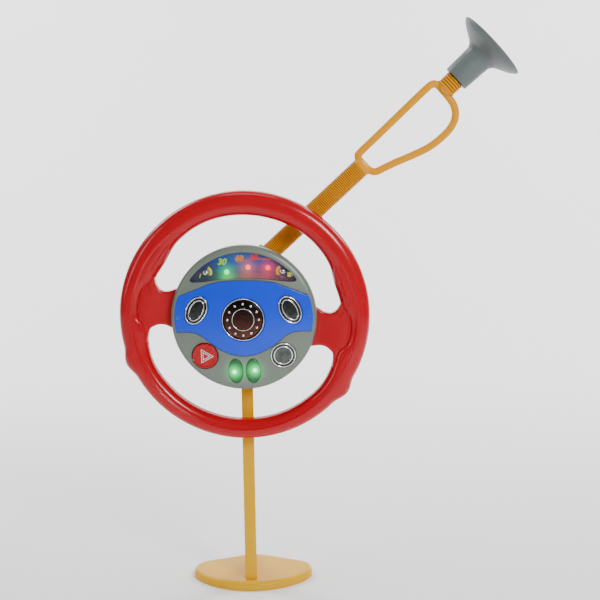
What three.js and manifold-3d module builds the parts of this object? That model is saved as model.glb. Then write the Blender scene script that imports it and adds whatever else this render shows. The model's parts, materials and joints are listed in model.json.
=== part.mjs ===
// A child's toy steering wheel on a stand. A round console with push buttons and
// lamps stays still while the wheel turns round it. A flat post with a foot plate
// carries the console, and a ribbed arm behind it ends in a grab loop and a
// suction cup. Millimetres, +Z up, the wheel faces -Y. The origin is on the
// underside of the foot plate, at the plate's middle.

import * as THREE from 'three';
import { mergeVertices } from 'three/addons/utils/BufferGeometryUtils.js';
import Module from 'manifold-3d';

const wasm = await Module();
wasm.setup();

// ---- Driving dimensions ----

// Places. Depths (y) are measured from the middle plane of the wheel's rim.
const hubHeight = 291;
const footMiddleDepth = 47;
const wheelRestTurn = 8.2;

// Wheel
const rimOuterRadius = 125.4;
const rimHalfDepth = 12;
const rimRound = 7.5;
const rimWall = 2.4;
const lowerRimWidth = 20;
const upperRimWidth = 24.6;
const gripBump = 4;
const gripBumpAngle = 60.5;
const gripBumpSpan = 8;
const spokeHalfDepth = 5;
const spokeSheet = 2.4;
const spokeUpperAngle = 100;
const spokeLowerAngle = 76;
const ringOuterRadius = 68;
const ringInnerRadius = 53;

// Console
const hubRadius = 72.3;
const hubSkirtFront = 11;
const hubEdgeRound = 4.6;
const domeHeight = 23;
const domeCurve = 308;
const shellWall = 2.2;
const faceplateRadius = 68.4;
const faceplateProud = 0.9;
const faceplateSink = 1.1;
const windowRadius = 65.5;
const neckLength = 11.5;
const rearRadius = 62;
const rearDepth = 36;
const shelfDepth = 21;
const doorTabLength = 5.2;
const shelfAboveTab = 2.5;

// Buttons
const hornRadius = 21.2;
const hornInnerRingRadius = 11.3;
const ovalLength = 30;
const ovalWidth = 21;
const ovalX = 46.3;
const ovalZ = 9;
const ovalLean = 30;
const lowButtonX = 38.8;
const lowButtonZ = -36.9;
const roundRadius = 12.8;
const hazardRadius = 13.2;
const bezelWidth = 2;
const buttonProud = 2.4;
const buttonTravel = 1.6;
const buttonLip = 1.4;
const buttonLipSheet = 1.2;

// Dashboard, lamps and circuit board
const dashDepth = 12.4;
const dashSheet = 1;
const lampRadius = 2.5;
const gaugeRadius = 3.5;
const boardRadius = 65;
const boardThickness = 1.6;
const boardFront = 8.1;

// Batteries (AA) and their door
const cellCount = 3;
const cellRadius = 7.1;
const cellLength = 49.4;
const cellPitch = 2 * cellRadius + 0.8;
const cellMiddleHeight = -17;
const springLength = 4;
const contactSheet = 0.6;
const compartmentHalfWidth = 30;
const doorMargin = 2;
const doorSheet = 2;

// Stand
const postWidth = 12;
const postFront = 14;
const postFlange = 2.8;
const postWeb = 2.6;
const postDepth = 14;
const postTop = -45;
const footHalfWidth = 63;
const footHeight = 9;
const footRound = 4;
const footWall = 2.6;
const footRib = 3;
const footPadRadius = 9;
const gussetHeight = 52;

// Arm, loop and suction cup. Distances along the arm start at its pivot.
const armAngle = 42.36;
const pivotAboveRoot = 4.1;
const armRadius = 10;
const armShelfGap = 0.6;
const armBore = 7;
const armEnd = 158;
const rootRadius = 17;
const collarWall = 2.6;
const collarEnd = 32;
const pinRadius = 4;
const pinHeadRadius = 8;
const loopThickness = 6.4;
const loopBarWidth = 7.4;
const loopStart = 160;
const loopEnd = 274;
const neckRadius = 10.3;
const neckPegRadius = 8;
const cupMouth = 287;
const cupSocketRadius = 13.6;
const cupJunction = 320;
const cupLip = 336;
const cupRadius = 38;
const cupWall = 3.2;

// Fixings and clearances
const screwRadius = 1.5;
const screwHeadRadius = 3;
const fixedGap = 0.3;
const slidingGap = 0.4;
const runningGap = 0.5;

// ---- Looks ----

const redGloss = { color: 0xd8001c, roughness: 0.22, metalness: 0 };
const greyGreen = { color: 0x727d74, roughness: 0.45, metalness: 0 };
const blueGloss = { color: 0x0448dc, roughness: 0.2, metalness: 0 };
const yellowPlastic = { color: 0xf8b410, roughness: 0.35, metalness: 0 };
const orangePlastic = { color: 0xf5a412, roughness: 0.45, metalness: 0 };
const cupGrey = { color: 0x5c6465, roughness: 0.5, metalness: 0 };
const chrome = { color: 0xd0d0d4, roughness: 0.12, metalness: 1 };
const smokedChrome = { color: 0x3a2a28, roughness: 0.15, metalness: 0.8 };
const steel = { color: 0xa8abb0, roughness: 0.35, metalness: 1 };
const darkPlastic = { color: 0x25272a, roughness: 0.5, metalness: 0 };
const navyPrint = { color: 0x1b2a7c, roughness: 0.5, metalness: 0 };
const clearPlastic = { color: 0xe8eef2, roughness: 0.05, metalness: 0 };
const boardGreen = { color: 0x1f6a3a, roughness: 0.5, metalness: 0 };
const hazardRed = { color: 0xd01420, roughness: 0.3, metalness: 0 };
const whitePrint = { color: 0xf4f4f4, roughness: 0.5, metalness: 0 };
const lampGreen = { color: 0x38e060, roughness: 0.2, metalness: 0 };
const lampOrange = { color: 0xff7a3c, roughness: 0.2, metalness: 0 };
const lampRed = { color: 0xff2a3c, roughness: 0.2, metalness: 0 };
const cellCase = { color: 0x3c5f46, roughness: 0.3, metalness: 0.3 };

// ---- Making and cutting closed shapes ----

const radians = (degrees) => THREE.MathUtils.degToRad(degrees);

// Signed volume of an indexed geometry: positive when its faces point out.
function signedVolume(positions, index) {
  const a = new THREE.Vector3();
  const b = new THREE.Vector3();
  const c = new THREE.Vector3();
  let volume = 0;
  for (let i = 0; i < index.length; i += 3) {
    a.fromArray(positions, index[i] * 3);
    b.fromArray(positions, index[i + 1] * 3);
    c.fromArray(positions, index[i + 2] * 3);
    volume += a.dot(b.cross(c)) / 6;
  }
  return volume;
}

// A geometry as a solid: vertices merged, collapsed faces dropped, faces turned out.
function solid(geometry) {
  const bare = geometry.clone();
  bare.deleteAttribute('normal');
  bare.deleteAttribute('uv');
  const merged = mergeVertices(bare, 1e-4);
  const positions = merged.attributes.position.array;
  const kept = [];
  for (let i = 0; i < merged.index.count; i += 3) {
    const [a, b, c] = merged.index.array.slice(i, i + 3);
    if (a !== b && b !== c && c !== a) kept.push(a, b, c);
  }
  if (signedVolume(positions, kept) < 0) kept.reverse();
  return new wasm.Manifold(new wasm.Mesh({
    numProp: 3,
    vertProperties: new Float32Array(positions),
    triVerts: new Uint32Array(kept),
  }));
}

function geometryOf(manifold) {
  const mesh = manifold.getMesh();
  const geometry = new THREE.BufferGeometry();
  geometry.setAttribute('position', new THREE.BufferAttribute(mesh.vertProperties, 3));
  geometry.setIndex(new THREE.BufferAttribute(mesh.triVerts, 1));
  geometry.computeVertexNormals();
  return geometry;
}

const join = (...solids) => solids.reduce((whole, next) => whole.add(next));
const cut = (whole, ...solids) => solids.reduce((rest, next) => rest.subtract(next), whole);

// A box between two corners.
function box(low, high) {
  const size = high.map((value, axis) => value - low[axis]);
  const middle = high.map((value, axis) => (value + low[axis]) / 2);
  return solid(new THREE.BoxGeometry(...size).translate(...middle));
}

// A solid turned round the y axis through (x, z) from a profile of [radius, depth].
function turned(profile, segments = 32, x = 0, z = 0) {
  const points = profile.map(([radius, depth]) => new THREE.Vector2(radius, depth));
  return solid(new THREE.LatheGeometry(points, segments).translate(x, 0, z));
}

// A plain round bar along y.
function bar(radius, front, back, segments = 24, x = 0, z = 0) {
  return turned([[0, front], [radius, front], [radius, back], [0, back]], segments, x, z);
}

// A ring along y.
function ring(inner, outer, front, back, segments = 48, x = 0, z = 0) {
  const profile = [[inner, front], [outer, front], [outer, back], [inner, back], [inner, front]];
  return turned(profile, segments, x, z);
}

// A flat shape drawn in x and z, filled from one depth to another.
function slab(shape, front, back, options = {}) {
  const settings = { depth: back - front, bevelEnabled: false, curveSegments: 3, ...options };
  const geometry = new THREE.ExtrudeGeometry(shape, settings);
  return solid(geometry.rotateX(Math.PI / 2).translate(0, back, 0));
}

// The same with both faces rounded over, staying inside the drawn outline.
function roundedSlab(shape, front, back, round, steps) {
  const options = {
    depth: back - front - 2 * round,
    bevelEnabled: true,
    bevelSize: round,
    bevelOffset: -round,
    bevelThickness: round,
    bevelSegments: steps,
  };
  const geometry = new THREE.ExtrudeGeometry(shape, { curveSegments: 8, ...options });
  return solid(geometry.rotateX(Math.PI / 2).translate(0, back - round, 0));
}

const polar = (radius, degrees) => new THREE.Vector2(
  radius * Math.sin(radians(degrees)), -radius * Math.cos(radians(degrees)));

// A closed curve through polar points given for one side, mirrored to the other.
function mirroredCurve(side, samples) {
  const right = side.map(([radius, degrees]) => polar(radius, degrees));
  const left = side.slice(1, -1).reverse().map(([radius, degrees]) => polar(radius, -degrees));
  const points = [...right, ...left].map((point) => new THREE.Vector3(point.x, point.y, 0));
  const curve = new THREE.CatmullRomCurve3(points, true, 'centripetal');
  return curve.getSpacedPoints(samples).slice(0, samples)
    .map((point) => new THREE.Vector2(point.x, point.y));
}

// An outline without repeated neighbours.
const spacedPoints = (points) => points.filter((point, i) => point.distanceTo(
  points[(i + points.length - 1) % points.length]) > 0.05);

// A closed outline moved sideways by a distance: outward when positive.
function offsetOutline(points, distance) {
  const turn = THREE.ShapeUtils.isClockWise(points) ? -1 : 1;
  return points.map((point, i) => {
    const before = points[(i + points.length - 1) % points.length];
    const after = points[(i + 1) % points.length];
    const along = after.clone().sub(before).normalize();
    return new THREE.Vector2(
      point.x + turn * along.y * distance, point.y - turn * along.x * distance);
  });
}

// An outline with a hole in it. The outline is drawn anticlockwise.
function shapeWithHole(outer, inner) {
  const anticlockwise = THREE.ShapeUtils.isClockWise(outer) ? [...outer].reverse() : outer;
  const shape = new THREE.Shape(anticlockwise);
  shape.holes.push(new THREE.Path(inner));
  return shape;
}

// A closed ellipse of points with its long axis turned from upright by an angle.
function ovalOutline(halfLength, halfWidth, lean, x, z, count = 24) {
  return Array.from({ length: count }, (_, i) => {
    const angle = (i / count) * 2 * Math.PI;
    const across = halfWidth * Math.cos(angle);
    const along = halfLength * Math.sin(angle);
    const tilt = radians(lean);
    return new THREE.Vector2(
      x + across * Math.cos(tilt) + along * Math.sin(tilt),
      z - across * Math.sin(tilt) + along * Math.cos(tilt));
  });
}

// Every piece is a named mesh in the console's own group.
const steeringToy = new THREE.Group();
const consoleGroup = new THREE.Group();
consoleGroup.position.set(0, -footMiddleDepth, hubHeight);
steeringToy.add(consoleGroup);

function addPiece(name, manifold, look, parent = consoleGroup) {
  const mesh = new THREE.Mesh(geometryOf(manifold), new THREE.MeshStandardMaterial(look));
  mesh.name = name;
  parent.add(mesh);
  return mesh;
}

// A pan-head screw along y with its head at the back.
function screw(x, z, tip, headFront) {
  const head = headFront + 1.8;
  const profile = [[0, tip], [screwRadius, tip], [screwRadius, headFront],
    [screwHeadRadius, headFront], [screwHeadRadius, head], [0, head]];
  return turned(profile, 10, x, z);
}

// ---- Wheel: two hollow half shells screwed together ----

const wheelGroup = new THREE.Group();
wheelGroup.rotation.y = radians(wheelRestTurn);
consoleGroup.add(wheelGroup);

// The rim's outer edge: a circle with a low hump at each lower hand grip.
function rimOuterOutline(samples) {
  return Array.from({ length: samples }, (_, i) => {
    const degrees = (i / samples) * 360 - 180;
    const fromHump = Math.abs(Math.abs(degrees) - gripBumpAngle) / gripBumpSpan;
    const hump = fromHump < 1 ? gripBump * 0.5 * (1 + Math.cos(Math.PI * fromHump)) : 0;
    return polar(rimOuterRadius + hump, degrees);
  });
}

// The rim's inner edge: wider rim at the top, with a hump above each spoke.
const lowerInner = rimOuterRadius - lowerRimWidth;
const upperInner = rimOuterRadius - upperRimWidth;
const rimInnerSide = [
  [lowerInner, 0], [lowerInner - 1, 40], [lowerInner - 2.5, 61], [upperInner - 1.5, 71],
  [upperInner - 5, spokeLowerAngle + 4], [upperInner - 5, spokeUpperAngle - 4],
  [upperInner - 4.4, spokeUpperAngle + 7], [upperInner - 5.6, spokeUpperAngle + 17],
  [upperInner - 2.6, spokeUpperAngle + 27], [upperInner - 0.6, spokeUpperAngle + 40],
  [upperInner, 180],
];
const rimInnerOutline = mirroredCurve(rimInnerSide, 52);
const rimOutline = rimOuterOutline(64);

const rimBody = roundedSlab(
  shapeWithHole(rimOutline, rimInnerOutline), -rimHalfDepth, rimHalfDepth, rimRound, 2);
const hollowInset = rimWall + 1.6;
const rimHollow = slab(
  shapeWithHole(offsetOutline(rimOutline, -hollowInset), offsetOutline(rimInnerOutline, hollowInset)),
  -rimHalfDepth + hollowInset, rimHalfDepth - hollowInset);

// One spoke, on the side given by +1 or -1, narrowest in the middle.
function spokeShape(side) {
  const root = ringOuterRadius - 3;
  const end = upperInner - 1.8;
  const span = end - root;
  const upper = [[root, 7], [root + span * 0.2, 5], [root + span * 0.44, 0.6],
    [root + span * 0.68, 0], [root + span * 0.85, 3], [end, 8]];
  const lower = [[end, 6], [root + span * 0.91, 2], [root + span * 0.76, 0],
    [root + span * 0.44, 0], [root + span * 0.24, 3], [root, 6]];
  const points = [
    ...upper.map(([radius, spread]) => polar(radius, side * (spokeUpperAngle + spread))),
    ...lower.map(([radius, spread]) => polar(radius, side * (spokeLowerAngle - spread))),
  ];
  return new THREE.Shape(points);
}

// A half shell between two depths: its half of the hollow rim, the flat spokes and
// the bearing ring that runs round the console's neck.
function wheelShell(front, back, sheetFront, sheetBack) {
  const reach = rimOuterRadius + gripBump + 1;
  const half = box([-reach, front, -reach], [reach, back, reach]);
  const rim = cut(rimBody.intersect(half), rimHollow);
  const spokes = [-1, 1].map((side) => slab(spokeShape(side), sheetFront, sheetBack));
  const bearing = ring(ringInnerRadius, ringOuterRadius, Math.max(front, -spokeHalfDepth),
    Math.min(back, spokeHalfDepth), 48);
  const inside = offsetOutline(rimInnerOutline, rimWall / 2);
  const trimmed = spokes.map((spoke) => spoke.intersect(
    slab(new THREE.Shape(inside), sheetFront - 1, sheetBack + 1)));
  return join(rim, bearing, ...trimmed);
}

const wheelScrewPlaces = [[ringOuterRadius - 6, 60], [ringOuterRadius - 6, 120],
  [ringOuterRadius - 6, -60], [ringOuterRadius - 6, -120]];
const wheelScrewHead = spokeHalfDepth - 2.2;
const screwBores = wheelScrewPlaces.map(([radius, degrees]) => {
  const place = polar(radius, degrees);
  return join(
    bar(screwRadius + fixedGap, -spokeHalfDepth + 1.4, spokeHalfDepth, 10, place.x, place.y),
    bar(screwHeadRadius + fixedGap, wheelScrewHead - fixedGap, spokeHalfDepth + 1, 10,
      place.x, place.y));
});
addPiece('wheel_front_shell', cut(
  wheelShell(-rimHalfDepth, -fixedGap / 2, -spokeHalfDepth, -spokeHalfDepth + spokeSheet),
  ...screwBores), redGloss, wheelGroup);
addPiece('wheel_rear_shell', cut(
  wheelShell(fixedGap / 2, rimHalfDepth, spokeHalfDepth - spokeSheet, spokeHalfDepth),
  ...screwBores), redGloss, wheelGroup);
wheelScrewPlaces.forEach(([radius, degrees], i) => {
  const place = polar(radius, degrees);
  addPiece(`wheel_screw_${i + 1}`,
    screw(place.x, place.y, -spokeHalfDepth + 1.7, wheelScrewHead), steel, wheelGroup);
});

// ---- Console front: a shallow dome with a skirt ----

// Depth of the dome's surface at a distance from its centre.
const domeDepth = (radius) => -domeHeight + (radius * radius) / (2 * domeCurve);
const domeEdge = hubRadius - hubEdgeRound;
const housingBack = -(spokeHalfDepth + runningGap);

// The dome's solid, shrunk inwards by an inset, open down to a given depth.
function domeSolid(inset, back, segments = 44) {
  const edge = domeEdge - inset * 0.4;
  const rings = [0, 0.4, 0.75, 1].map((share) => share * edge);
  const dome = rings.map((radius) => [radius, domeDepth(radius) + inset]);
  const side = hubRadius - inset;
  const corner = [[edge + (side - edge) * 0.7, domeDepth(domeEdge) + inset + hubEdgeRound * 0.35],
    [side, -hubSkirtFront + inset * 0.4]];
  return turned([...dome, ...corner, [side, back], [0, back]], segments);
}

// A layer between two insets below the dome's surface, out to a radius.
function domeLayer(outerInset, innerInset, radius) {
  const rings = [0, 0.4, 0.75, 1].map((share) => share * domeEdge).concat(radius);
  const top = rings.map((r) => [r, domeDepth(r) + outerInset]);
  const under = [...rings].reverse().map((r) => [r, domeDepth(r) + innerInset]);
  return turned([...top, ...under], 44);
}

// The faceplate's outline: arcs at both ends, a crown above and a bowl below.
function faceplateOutline() {
  const topAngle = radians(18.9);
  const lowAngle = radians(-11.3);
  const onEdge = (angle) => [faceplateRadius * Math.cos(angle), faceplateRadius * Math.sin(angle)];
  const crown = [onEdge(topAngle), [46, 29.6], [27.6, 36.2], [0, 38.3]];
  const bowl = [onEdge(lowAngle), [57, -12.8], [49, -13.4], [42, -16.4], [33.6, -22.9],
    [23.8, -29.8], [13, -34.6], [0, -36.8]];
  const spread = (points) => [...points, ...points.slice(0, -1).reverse().map(([x, z]) => [-x, z])];
  const upper = spread(crown).map(([x, z]) => new THREE.Vector2(x, z)).slice(1);
  const lower = spread(bowl).reverse().map(([x, z]) => new THREE.Vector2(x, z)).slice(1);
  const shape = new THREE.Shape();
  shape.absarc(0, 0, faceplateRadius, lowAngle, topAngle, false);
  shape.splineThru(upper);
  shape.absarc(0, 0, faceplateRadius, Math.PI - topAngle, Math.PI - lowAngle, false);
  shape.splineThru(lower);
  return spacedPoints(shape.getPoints(3));
}

// The crescent dashboard window, concentric with the console along its top.
function windowShape(grow) {
  const radius = windowRadius + grow;
  const tip = radians(39.2);
  const half = [[48.4 + grow, 36], [38, 37], [20, 39.2]];
  const lowerEdge = [...half.map(([x, z]) => [-x, z]), [0, 39.8], ...[...half].reverse()];
  const shape = new THREE.Shape();
  shape.absarc(0, 0, radius, tip, Math.PI - tip, false);
  shape.splineThru(lowerEdge.map(([x, z]) => new THREE.Vector2(x, z - grow)));
  return shape;
}

// An upright oval indicator window, on the side given by +1 or -1.
const indicatorX = 8.6;
const indicatorMiddle = -52.5;
const indicatorHalfHeight = 13;
const indicatorHalfWidth = 7.5;
const indicatorShape = (side, shrink) => new THREE.Shape(ovalOutline(
  indicatorHalfHeight - shrink, indicatorHalfWidth - shrink, 0,
  side * indicatorX, indicatorMiddle, 20));

// Where each push button stands, and its outline grown by a distance.
const ovalButton = (side) => (grow, count) => ovalOutline(
  ovalLength / 2 + grow, ovalWidth / 2 + grow, -side * ovalLean, side * ovalX, ovalZ, count);
const roundButton = (radius, x, z) => (grow, count) => ovalOutline(
  radius + grow, radius + grow, 0, x, z, count);
const buttonFace = (x, z) => domeDepth(Math.hypot(x, z)) - buttonProud;
const buttons = {
  horn: { outline: roundButton(hornRadius, 0, 0), face: buttonFace(0, 0), bezel: true },
  left_oval: { outline: ovalButton(-1), face: buttonFace(ovalX, ovalZ), bezel: true },
  right_oval: { outline: ovalButton(1), face: buttonFace(ovalX, ovalZ), bezel: true },
  round: {
    outline: roundButton(roundRadius, lowButtonX, lowButtonZ),
    face: buttonFace(lowButtonX, lowButtonZ),
    bezel: true,
  },
  hazard: {
    outline: roundButton(hazardRadius, -lowButtonX, lowButtonZ),
    face: buttonFace(lowButtonX, lowButtonZ),
    bezel: false,
  },
};
const buttonHoles = Object.values(buttons).map(({ outline }) => slab(
  new THREE.Shape(outline(fixedGap)), -domeHeight - 5, -boardFront));
const indicatorHoles = [-1, 1].map((side) => slab(
  indicatorShape(side, 0), -domeHeight, -boardFront));

const faceRecess = domeLayer(-1, faceplateSink, hubRadius - 2).intersect(
  slab(new THREE.Shape(offsetOutline(faceplateOutline(), fixedGap)), -domeHeight - 5, 0));
// Four screws from behind hold both housings and the board between them together.
const housingScrewPlaces = [[-37, 28], [37, 28], [-45, -12], [45, -12]];
const screwBossRadius = 4;
const screwTip = -14;
const housingScrewBores = (front, back) => housingScrewPlaces.map(([x, z]) => bar(
  screwRadius + fixedGap, front, back, 10, x, z));
const frontBosses = housingScrewPlaces.map(([x, z]) => bar(
  screwBossRadius, -domeHeight, -boardFront - fixedGap, 14, x, z).intersect(domeSolid(1.5, 0)));

const domeShell = join(cut(domeSolid(0, housingBack), domeSolid(shellWall, 0)), ...frontBosses);
addPiece('front_housing', cut(
  domeShell, faceRecess, slab(windowShape(0), -domeHeight - 1, -boardFront),
  ...buttonHoles, ...indicatorHoles, ...housingScrewBores(screwTip - fixedGap, 0)), greyGreen);

addPiece('blue_faceplate', cut(
  domeLayer(-faceplateProud, faceplateSink - fixedGap, hubRadius - 2).intersect(
    slab(new THREE.Shape(faceplateOutline()), -domeHeight - 5, 0)),
  ...buttonHoles), blueGloss);

// ---- Push buttons: a cap through a bezel, with a lip behind the dome's wall ----

for (const [name, { outline, face, bezel }] of Object.entries(buttons)) {
  const capGrow = bezel ? -bezelWidth - slidingGap : -slidingGap;
  const lipOutline = outline(capGrow + buttonLip);
  const lipReach = Math.max(...lipOutline.map((point) => point.length()));
  const lipFront = domeDepth(lipReach) + shellWall + 3 * fixedGap;
  const lipBack = Math.min(lipFront + buttonLipSheet, -boardFront - buttonTravel - fixedGap);
  const cap = join(
    roundedSlab(new THREE.Shape(outline(capGrow)), face, lipBack - fixedGap, 0.8, 1),
    slab(new THREE.Shape(lipOutline), lipFront, lipBack));
  if (bezel) {
    const rim = shapeWithHole(outline(0), outline(-bezelWidth));
    const innerWall = face + buttonProud + shellWall - 0.6;
    addPiece(`${name}_bezel`, roundedSlab(rim, face + 0.6, innerWall, 0.6, 1), chrome);
  }
  if (name === 'horn') {
    const groove = ring(hornInnerRingRadius - 1.3, hornInnerRingRadius + fixedGap,
      face - 1, face + 1, 40);
    addPiece('horn_button', cut(cap, groove), smokedChrome);
    addPiece('horn_inner_ring', ring(hornInnerRingRadius - 1, hornInnerRingRadius,
      face - 0.5, face + 0.7, 40), chrome);
  } else if (name === 'hazard') {
    const middle = [-lowButtonX, lowButtonZ];
    const triangle = (reach) => [0, 120, 240].map((degrees) => new THREE.Vector2(
      middle[0] + reach * Math.cos(radians(degrees)), middle[1] + reach * Math.sin(radians(degrees))));
    const pocket = slab(shapeWithHole(triangle(8.1), triangle(3.6)), face - 1, face + 0.5);
    addPiece('hazard_button', cut(cap, pocket), hazardRed);
    addPiece('hazard_triangle', slab(shapeWithHole(triangle(7.5), triangle(4.2)),
      face - 0.2, face + 0.3), whitePrint);
  } else {
    addPiece(`${name}_button`, cap, smokedChrome);
  }
}

// ---- Dashboard behind the crescent window ----

const lamps = {
  green_lamp: { x: -16, z: 45.9, look: lampGreen },
  orange_lamp: { x: 5.1, z: 50.4, look: lampOrange },
  red_lamp: { x: 24.6, z: 49.8, look: lampRed },
};
const boardHole = (x, z, front, back) => bar(
  lampRadius + fixedGap, front, back, 16, x, z);
const dashGrow = 2.2;
const dashSlab = (front, back) => slab(windowShape(dashGrow), front, back).intersect(
  bar(hubRadius - shellWall - 1, front - 1, back + 1, 44));
const lampHoles = Object.values(lamps).map(({ x, z }) => boardHole(
  x, z, -dashDepth - 3, -dashDepth + dashSheet + 1));
addPiece('dash_tray', cut(
  dashSlab(-dashDepth, -dashDepth + dashSheet), ...lampHoles), navyPrint);

const lensLayer = domeLayer(0.4, 1.4, hubRadius - 2);
addPiece('dash_lens', lensLayer.intersect(
  slab(windowShape(-fixedGap), -domeHeight - 5, 0)), clearPlastic);

for (const [name, x, z] of [['left_gauge_dome', -36.8, 45.6], ['right_gauge_dome', 39, 46]]) {
  const base = -dashDepth - fixedGap;
  const profile = [[0, base - 2.7], [gaugeRadius * 0.55, base - 2.3], [gaugeRadius * 0.9, base - 1.1],
    [gaugeRadius, base], [0, base]];
  addPiece(name, turned(profile, 20, x, z), chrome);
}

const boardBack = -boardFront + boardThickness;
for (const [name, { x, z, look }] of Object.entries(lamps)) {
  const foot = -boardFront - fixedGap;
  const tip = -dashDepth - 2.8;
  const profile = [[0, tip], [lampRadius * 0.7, tip + 0.7], [lampRadius, tip + 2.2],
    [lampRadius, foot], [0, foot]];
  addPiece(name, turned(profile, 16, x, z), look);
}

// ---- Green indicator lamps and their windows at the bottom of the dome ----

for (const [name, side] of [['left', -1], ['right', 1]]) {
  const lens = slab(indicatorShape(side, fixedGap), -domeHeight, -boardFront - 4);
  addPiece(`${name}_indicator_lens`, lens.intersect(domeLayer(-0.3, 1.6, hubRadius - 2)), lampGreen);
  const foot = -boardFront - fixedGap;
  const tip = -boardFront - 4.6;
  addPiece(`${name}_indicator_lamp`, turned([[0, tip], [lampRadius * 0.7, tip + 0.7],
    [lampRadius, tip + 2], [lampRadius, foot], [0, foot]],
  14, side * indicatorX, indicatorMiddle), lampGreen);
}

addPiece('circuit_board', cut(
  bar(boardRadius, -boardFront, boardBack, 48),
  ...housingScrewBores(-boardFront - 1, boardBack + 1)), boardGreen);

// ---- Rear housing: neck, round case, arm shelf and battery compartment ----

const caseFront = spokeHalfDepth + runningGap;
const neckRadiusOuter = ringInnerRadius - runningGap;
const neckFront = caseFront - neckLength;
const neckBore = neckRadiusOuter - shellWall;
const compartmentFloor = rearDepth - doorSheet - 2 * cellRadius - 1;
const compartmentHalfHeight = (cellCount * cellPitch) / 2 + 0.8;
const compartmentLow = cellMiddleHeight - compartmentHalfHeight;
const compartmentHigh = cellMiddleHeight + compartmentHalfHeight;
const big = rearRadius + 10;

// The round case with its upper part stepped forward for the arm.
const caseSolid = (radius, front, back, step, ledge) => cut(
  bar(radius, front, back, 44),
  box([-big, step, ledge], [big, rearDepth + big, big]));

// The T-shaped post's section, grown by a clearance, between two heights.
function postSolid(grow, low, high) {
  const flange = box([-postWidth / 2 - grow, postFront - grow, low],
    [postWidth / 2 + grow, postFront + postFlange + grow, high]);
  const web = box([-postWeb / 2 - grow, postFront, low],
    [postWeb / 2 + grow, postFront + postDepth + grow, high]);
  return join(flange, web);
}

const doorHalfWidth = compartmentHalfWidth + doorMargin;
const doorLow = compartmentLow - doorMargin;
const doorHigh = compartmentHigh + doorMargin;
const doorFront = rearDepth - doorSheet;
const doorTabHalf = 6;
const doorTabHigh = doorHigh + doorTabLength;
// The shelf starts above the door's tab, and the arm's pivot stands above the shelf.
const shelfHeight = doorTabHigh + shelfAboveTab;
const pivotHeight = shelfHeight + rootRadius + pivotAboveRoot;
const doorScrewPlace = [0, doorHigh + 1.4];

// The battery door's outline with its screw tab, grown by a clearance.
const doorSolid = (grow, front, back) => join(
  box([-doorHalfWidth - grow, front, doorLow - grow], [doorHalfWidth + grow, back, doorHigh + grow]),
  box([-doorTabHalf - grow, front, doorHigh - 1], [doorTabHalf + grow, back, doorTabHigh + grow]));
const compartmentWall = doorMargin + 1.2;
const compartmentBlock = box(
  [-compartmentHalfWidth - compartmentWall, compartmentFloor - 1.6, compartmentLow - compartmentWall],
  [compartmentHalfWidth + compartmentWall, rearDepth - 0.8, compartmentHigh + compartmentWall]);
const doorScrewBoss = box([-doorTabHalf - 1.4, doorFront - 12, compartmentHigh],
  [doorTabHalf + 1.4, rearDepth - 0.8, doorTabHigh + 1.6]);
const postSocket = box([-postWidth / 2 - 3, postFront - 2.4, -rearRadius + 2],
  [postWidth / 2 + 3, postFront + postDepth + 2.6, postTop + 2.4]);

const housingScrewHead = caseFront + shellWall + fixedGap;
const neckBosses = housingScrewPlaces.map(([x, z]) => cut(
  bar(screwHeadRadius + 1.8, neckFront, housingScrewHead - fixedGap, 14, x, z),
  bar(screwRadius + fixedGap, neckFront - 1, housingScrewHead, 10, x, z)));
const screwdriverBores = housingScrewPlaces.map(([x, z]) => bar(
  screwHeadRadius + fixedGap, housingScrewHead, rearDepth + 1, 14, x, z));

const speakerX = -16;
const speakerZ = shelfHeight;
const speakerRadius = 13;
const grilleSlots = [-8, -4, 0, 4, 8].map((drop) => {
  const half = Math.sqrt(11 * 11 - drop * drop);
  return box([speakerX - half, shelfDepth - 4, speakerZ + 7 + drop * 0.8 - 0.7],
    [speakerX + half, shelfDepth + 1, speakerZ + 7 + drop * 0.8 + 0.7]);
});
const switchX = 32;
const switchZ = shelfHeight + 6;
const switchTravel = 5;
const knobWidth = 6;
const knobHalfHeight = 1.6;
const slotHalf = (knobWidth + switchTravel) / 2 + slidingGap;
const switchSlot = box(
  [switchX - slotHalf, shelfDepth - 4, switchZ - knobHalfHeight - slidingGap],
  [switchX + slotHalf, shelfDepth + 1, switchZ + knobHalfHeight + slidingGap]);

const boltHole = bar(pinRadius + fixedGap, shelfDepth - 5, shelfDepth + 1, 20, 0, pivotHeight);
const standScrewZ = [-51, -57];
const standScrewBores = standScrewZ.map((z) => bar(
  screwRadius + fixedGap, postFront + postDepth, rearDepth + 1, 10, 0, z));

const shell = cut(
  caseSolid(rearRadius, caseFront, rearDepth, shelfDepth, shelfHeight),
  caseSolid(rearRadius - shellWall, caseFront + shellWall, rearDepth - shellWall,
    shelfDepth - shellWall, shelfHeight - shellWall));
const rearBlank = join(shell,
  ring(neckBore, neckRadiusOuter, neckFront, caseFront + 1, 44),
  cut(join(compartmentBlock, doorScrewBoss),
    bar(screwRadius + fixedGap, doorFront - 10, rearDepth, 10, ...doorScrewPlace)),
  postSocket.intersect(bar(rearRadius - 0.5, 0, rearDepth, 40)));
addPiece('rear_housing', cut(join(cut(rearBlank,
  bar(neckBore, neckFront - 1, caseFront + shellWall + 0.1, 44)), ...neckBosses),
  doorSolid(slidingGap, doorFront - fixedGap, rearDepth + 1),
  box([-compartmentHalfWidth, compartmentFloor, compartmentLow],
    [compartmentHalfWidth, rearDepth + 1, compartmentHigh]),
  postSolid(fixedGap, -rearRadius - 2, postTop + fixedGap),
  switchSlot, boltHole, ...grilleSlots, ...standScrewBores, ...screwdriverBores), darkPlastic);

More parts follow.
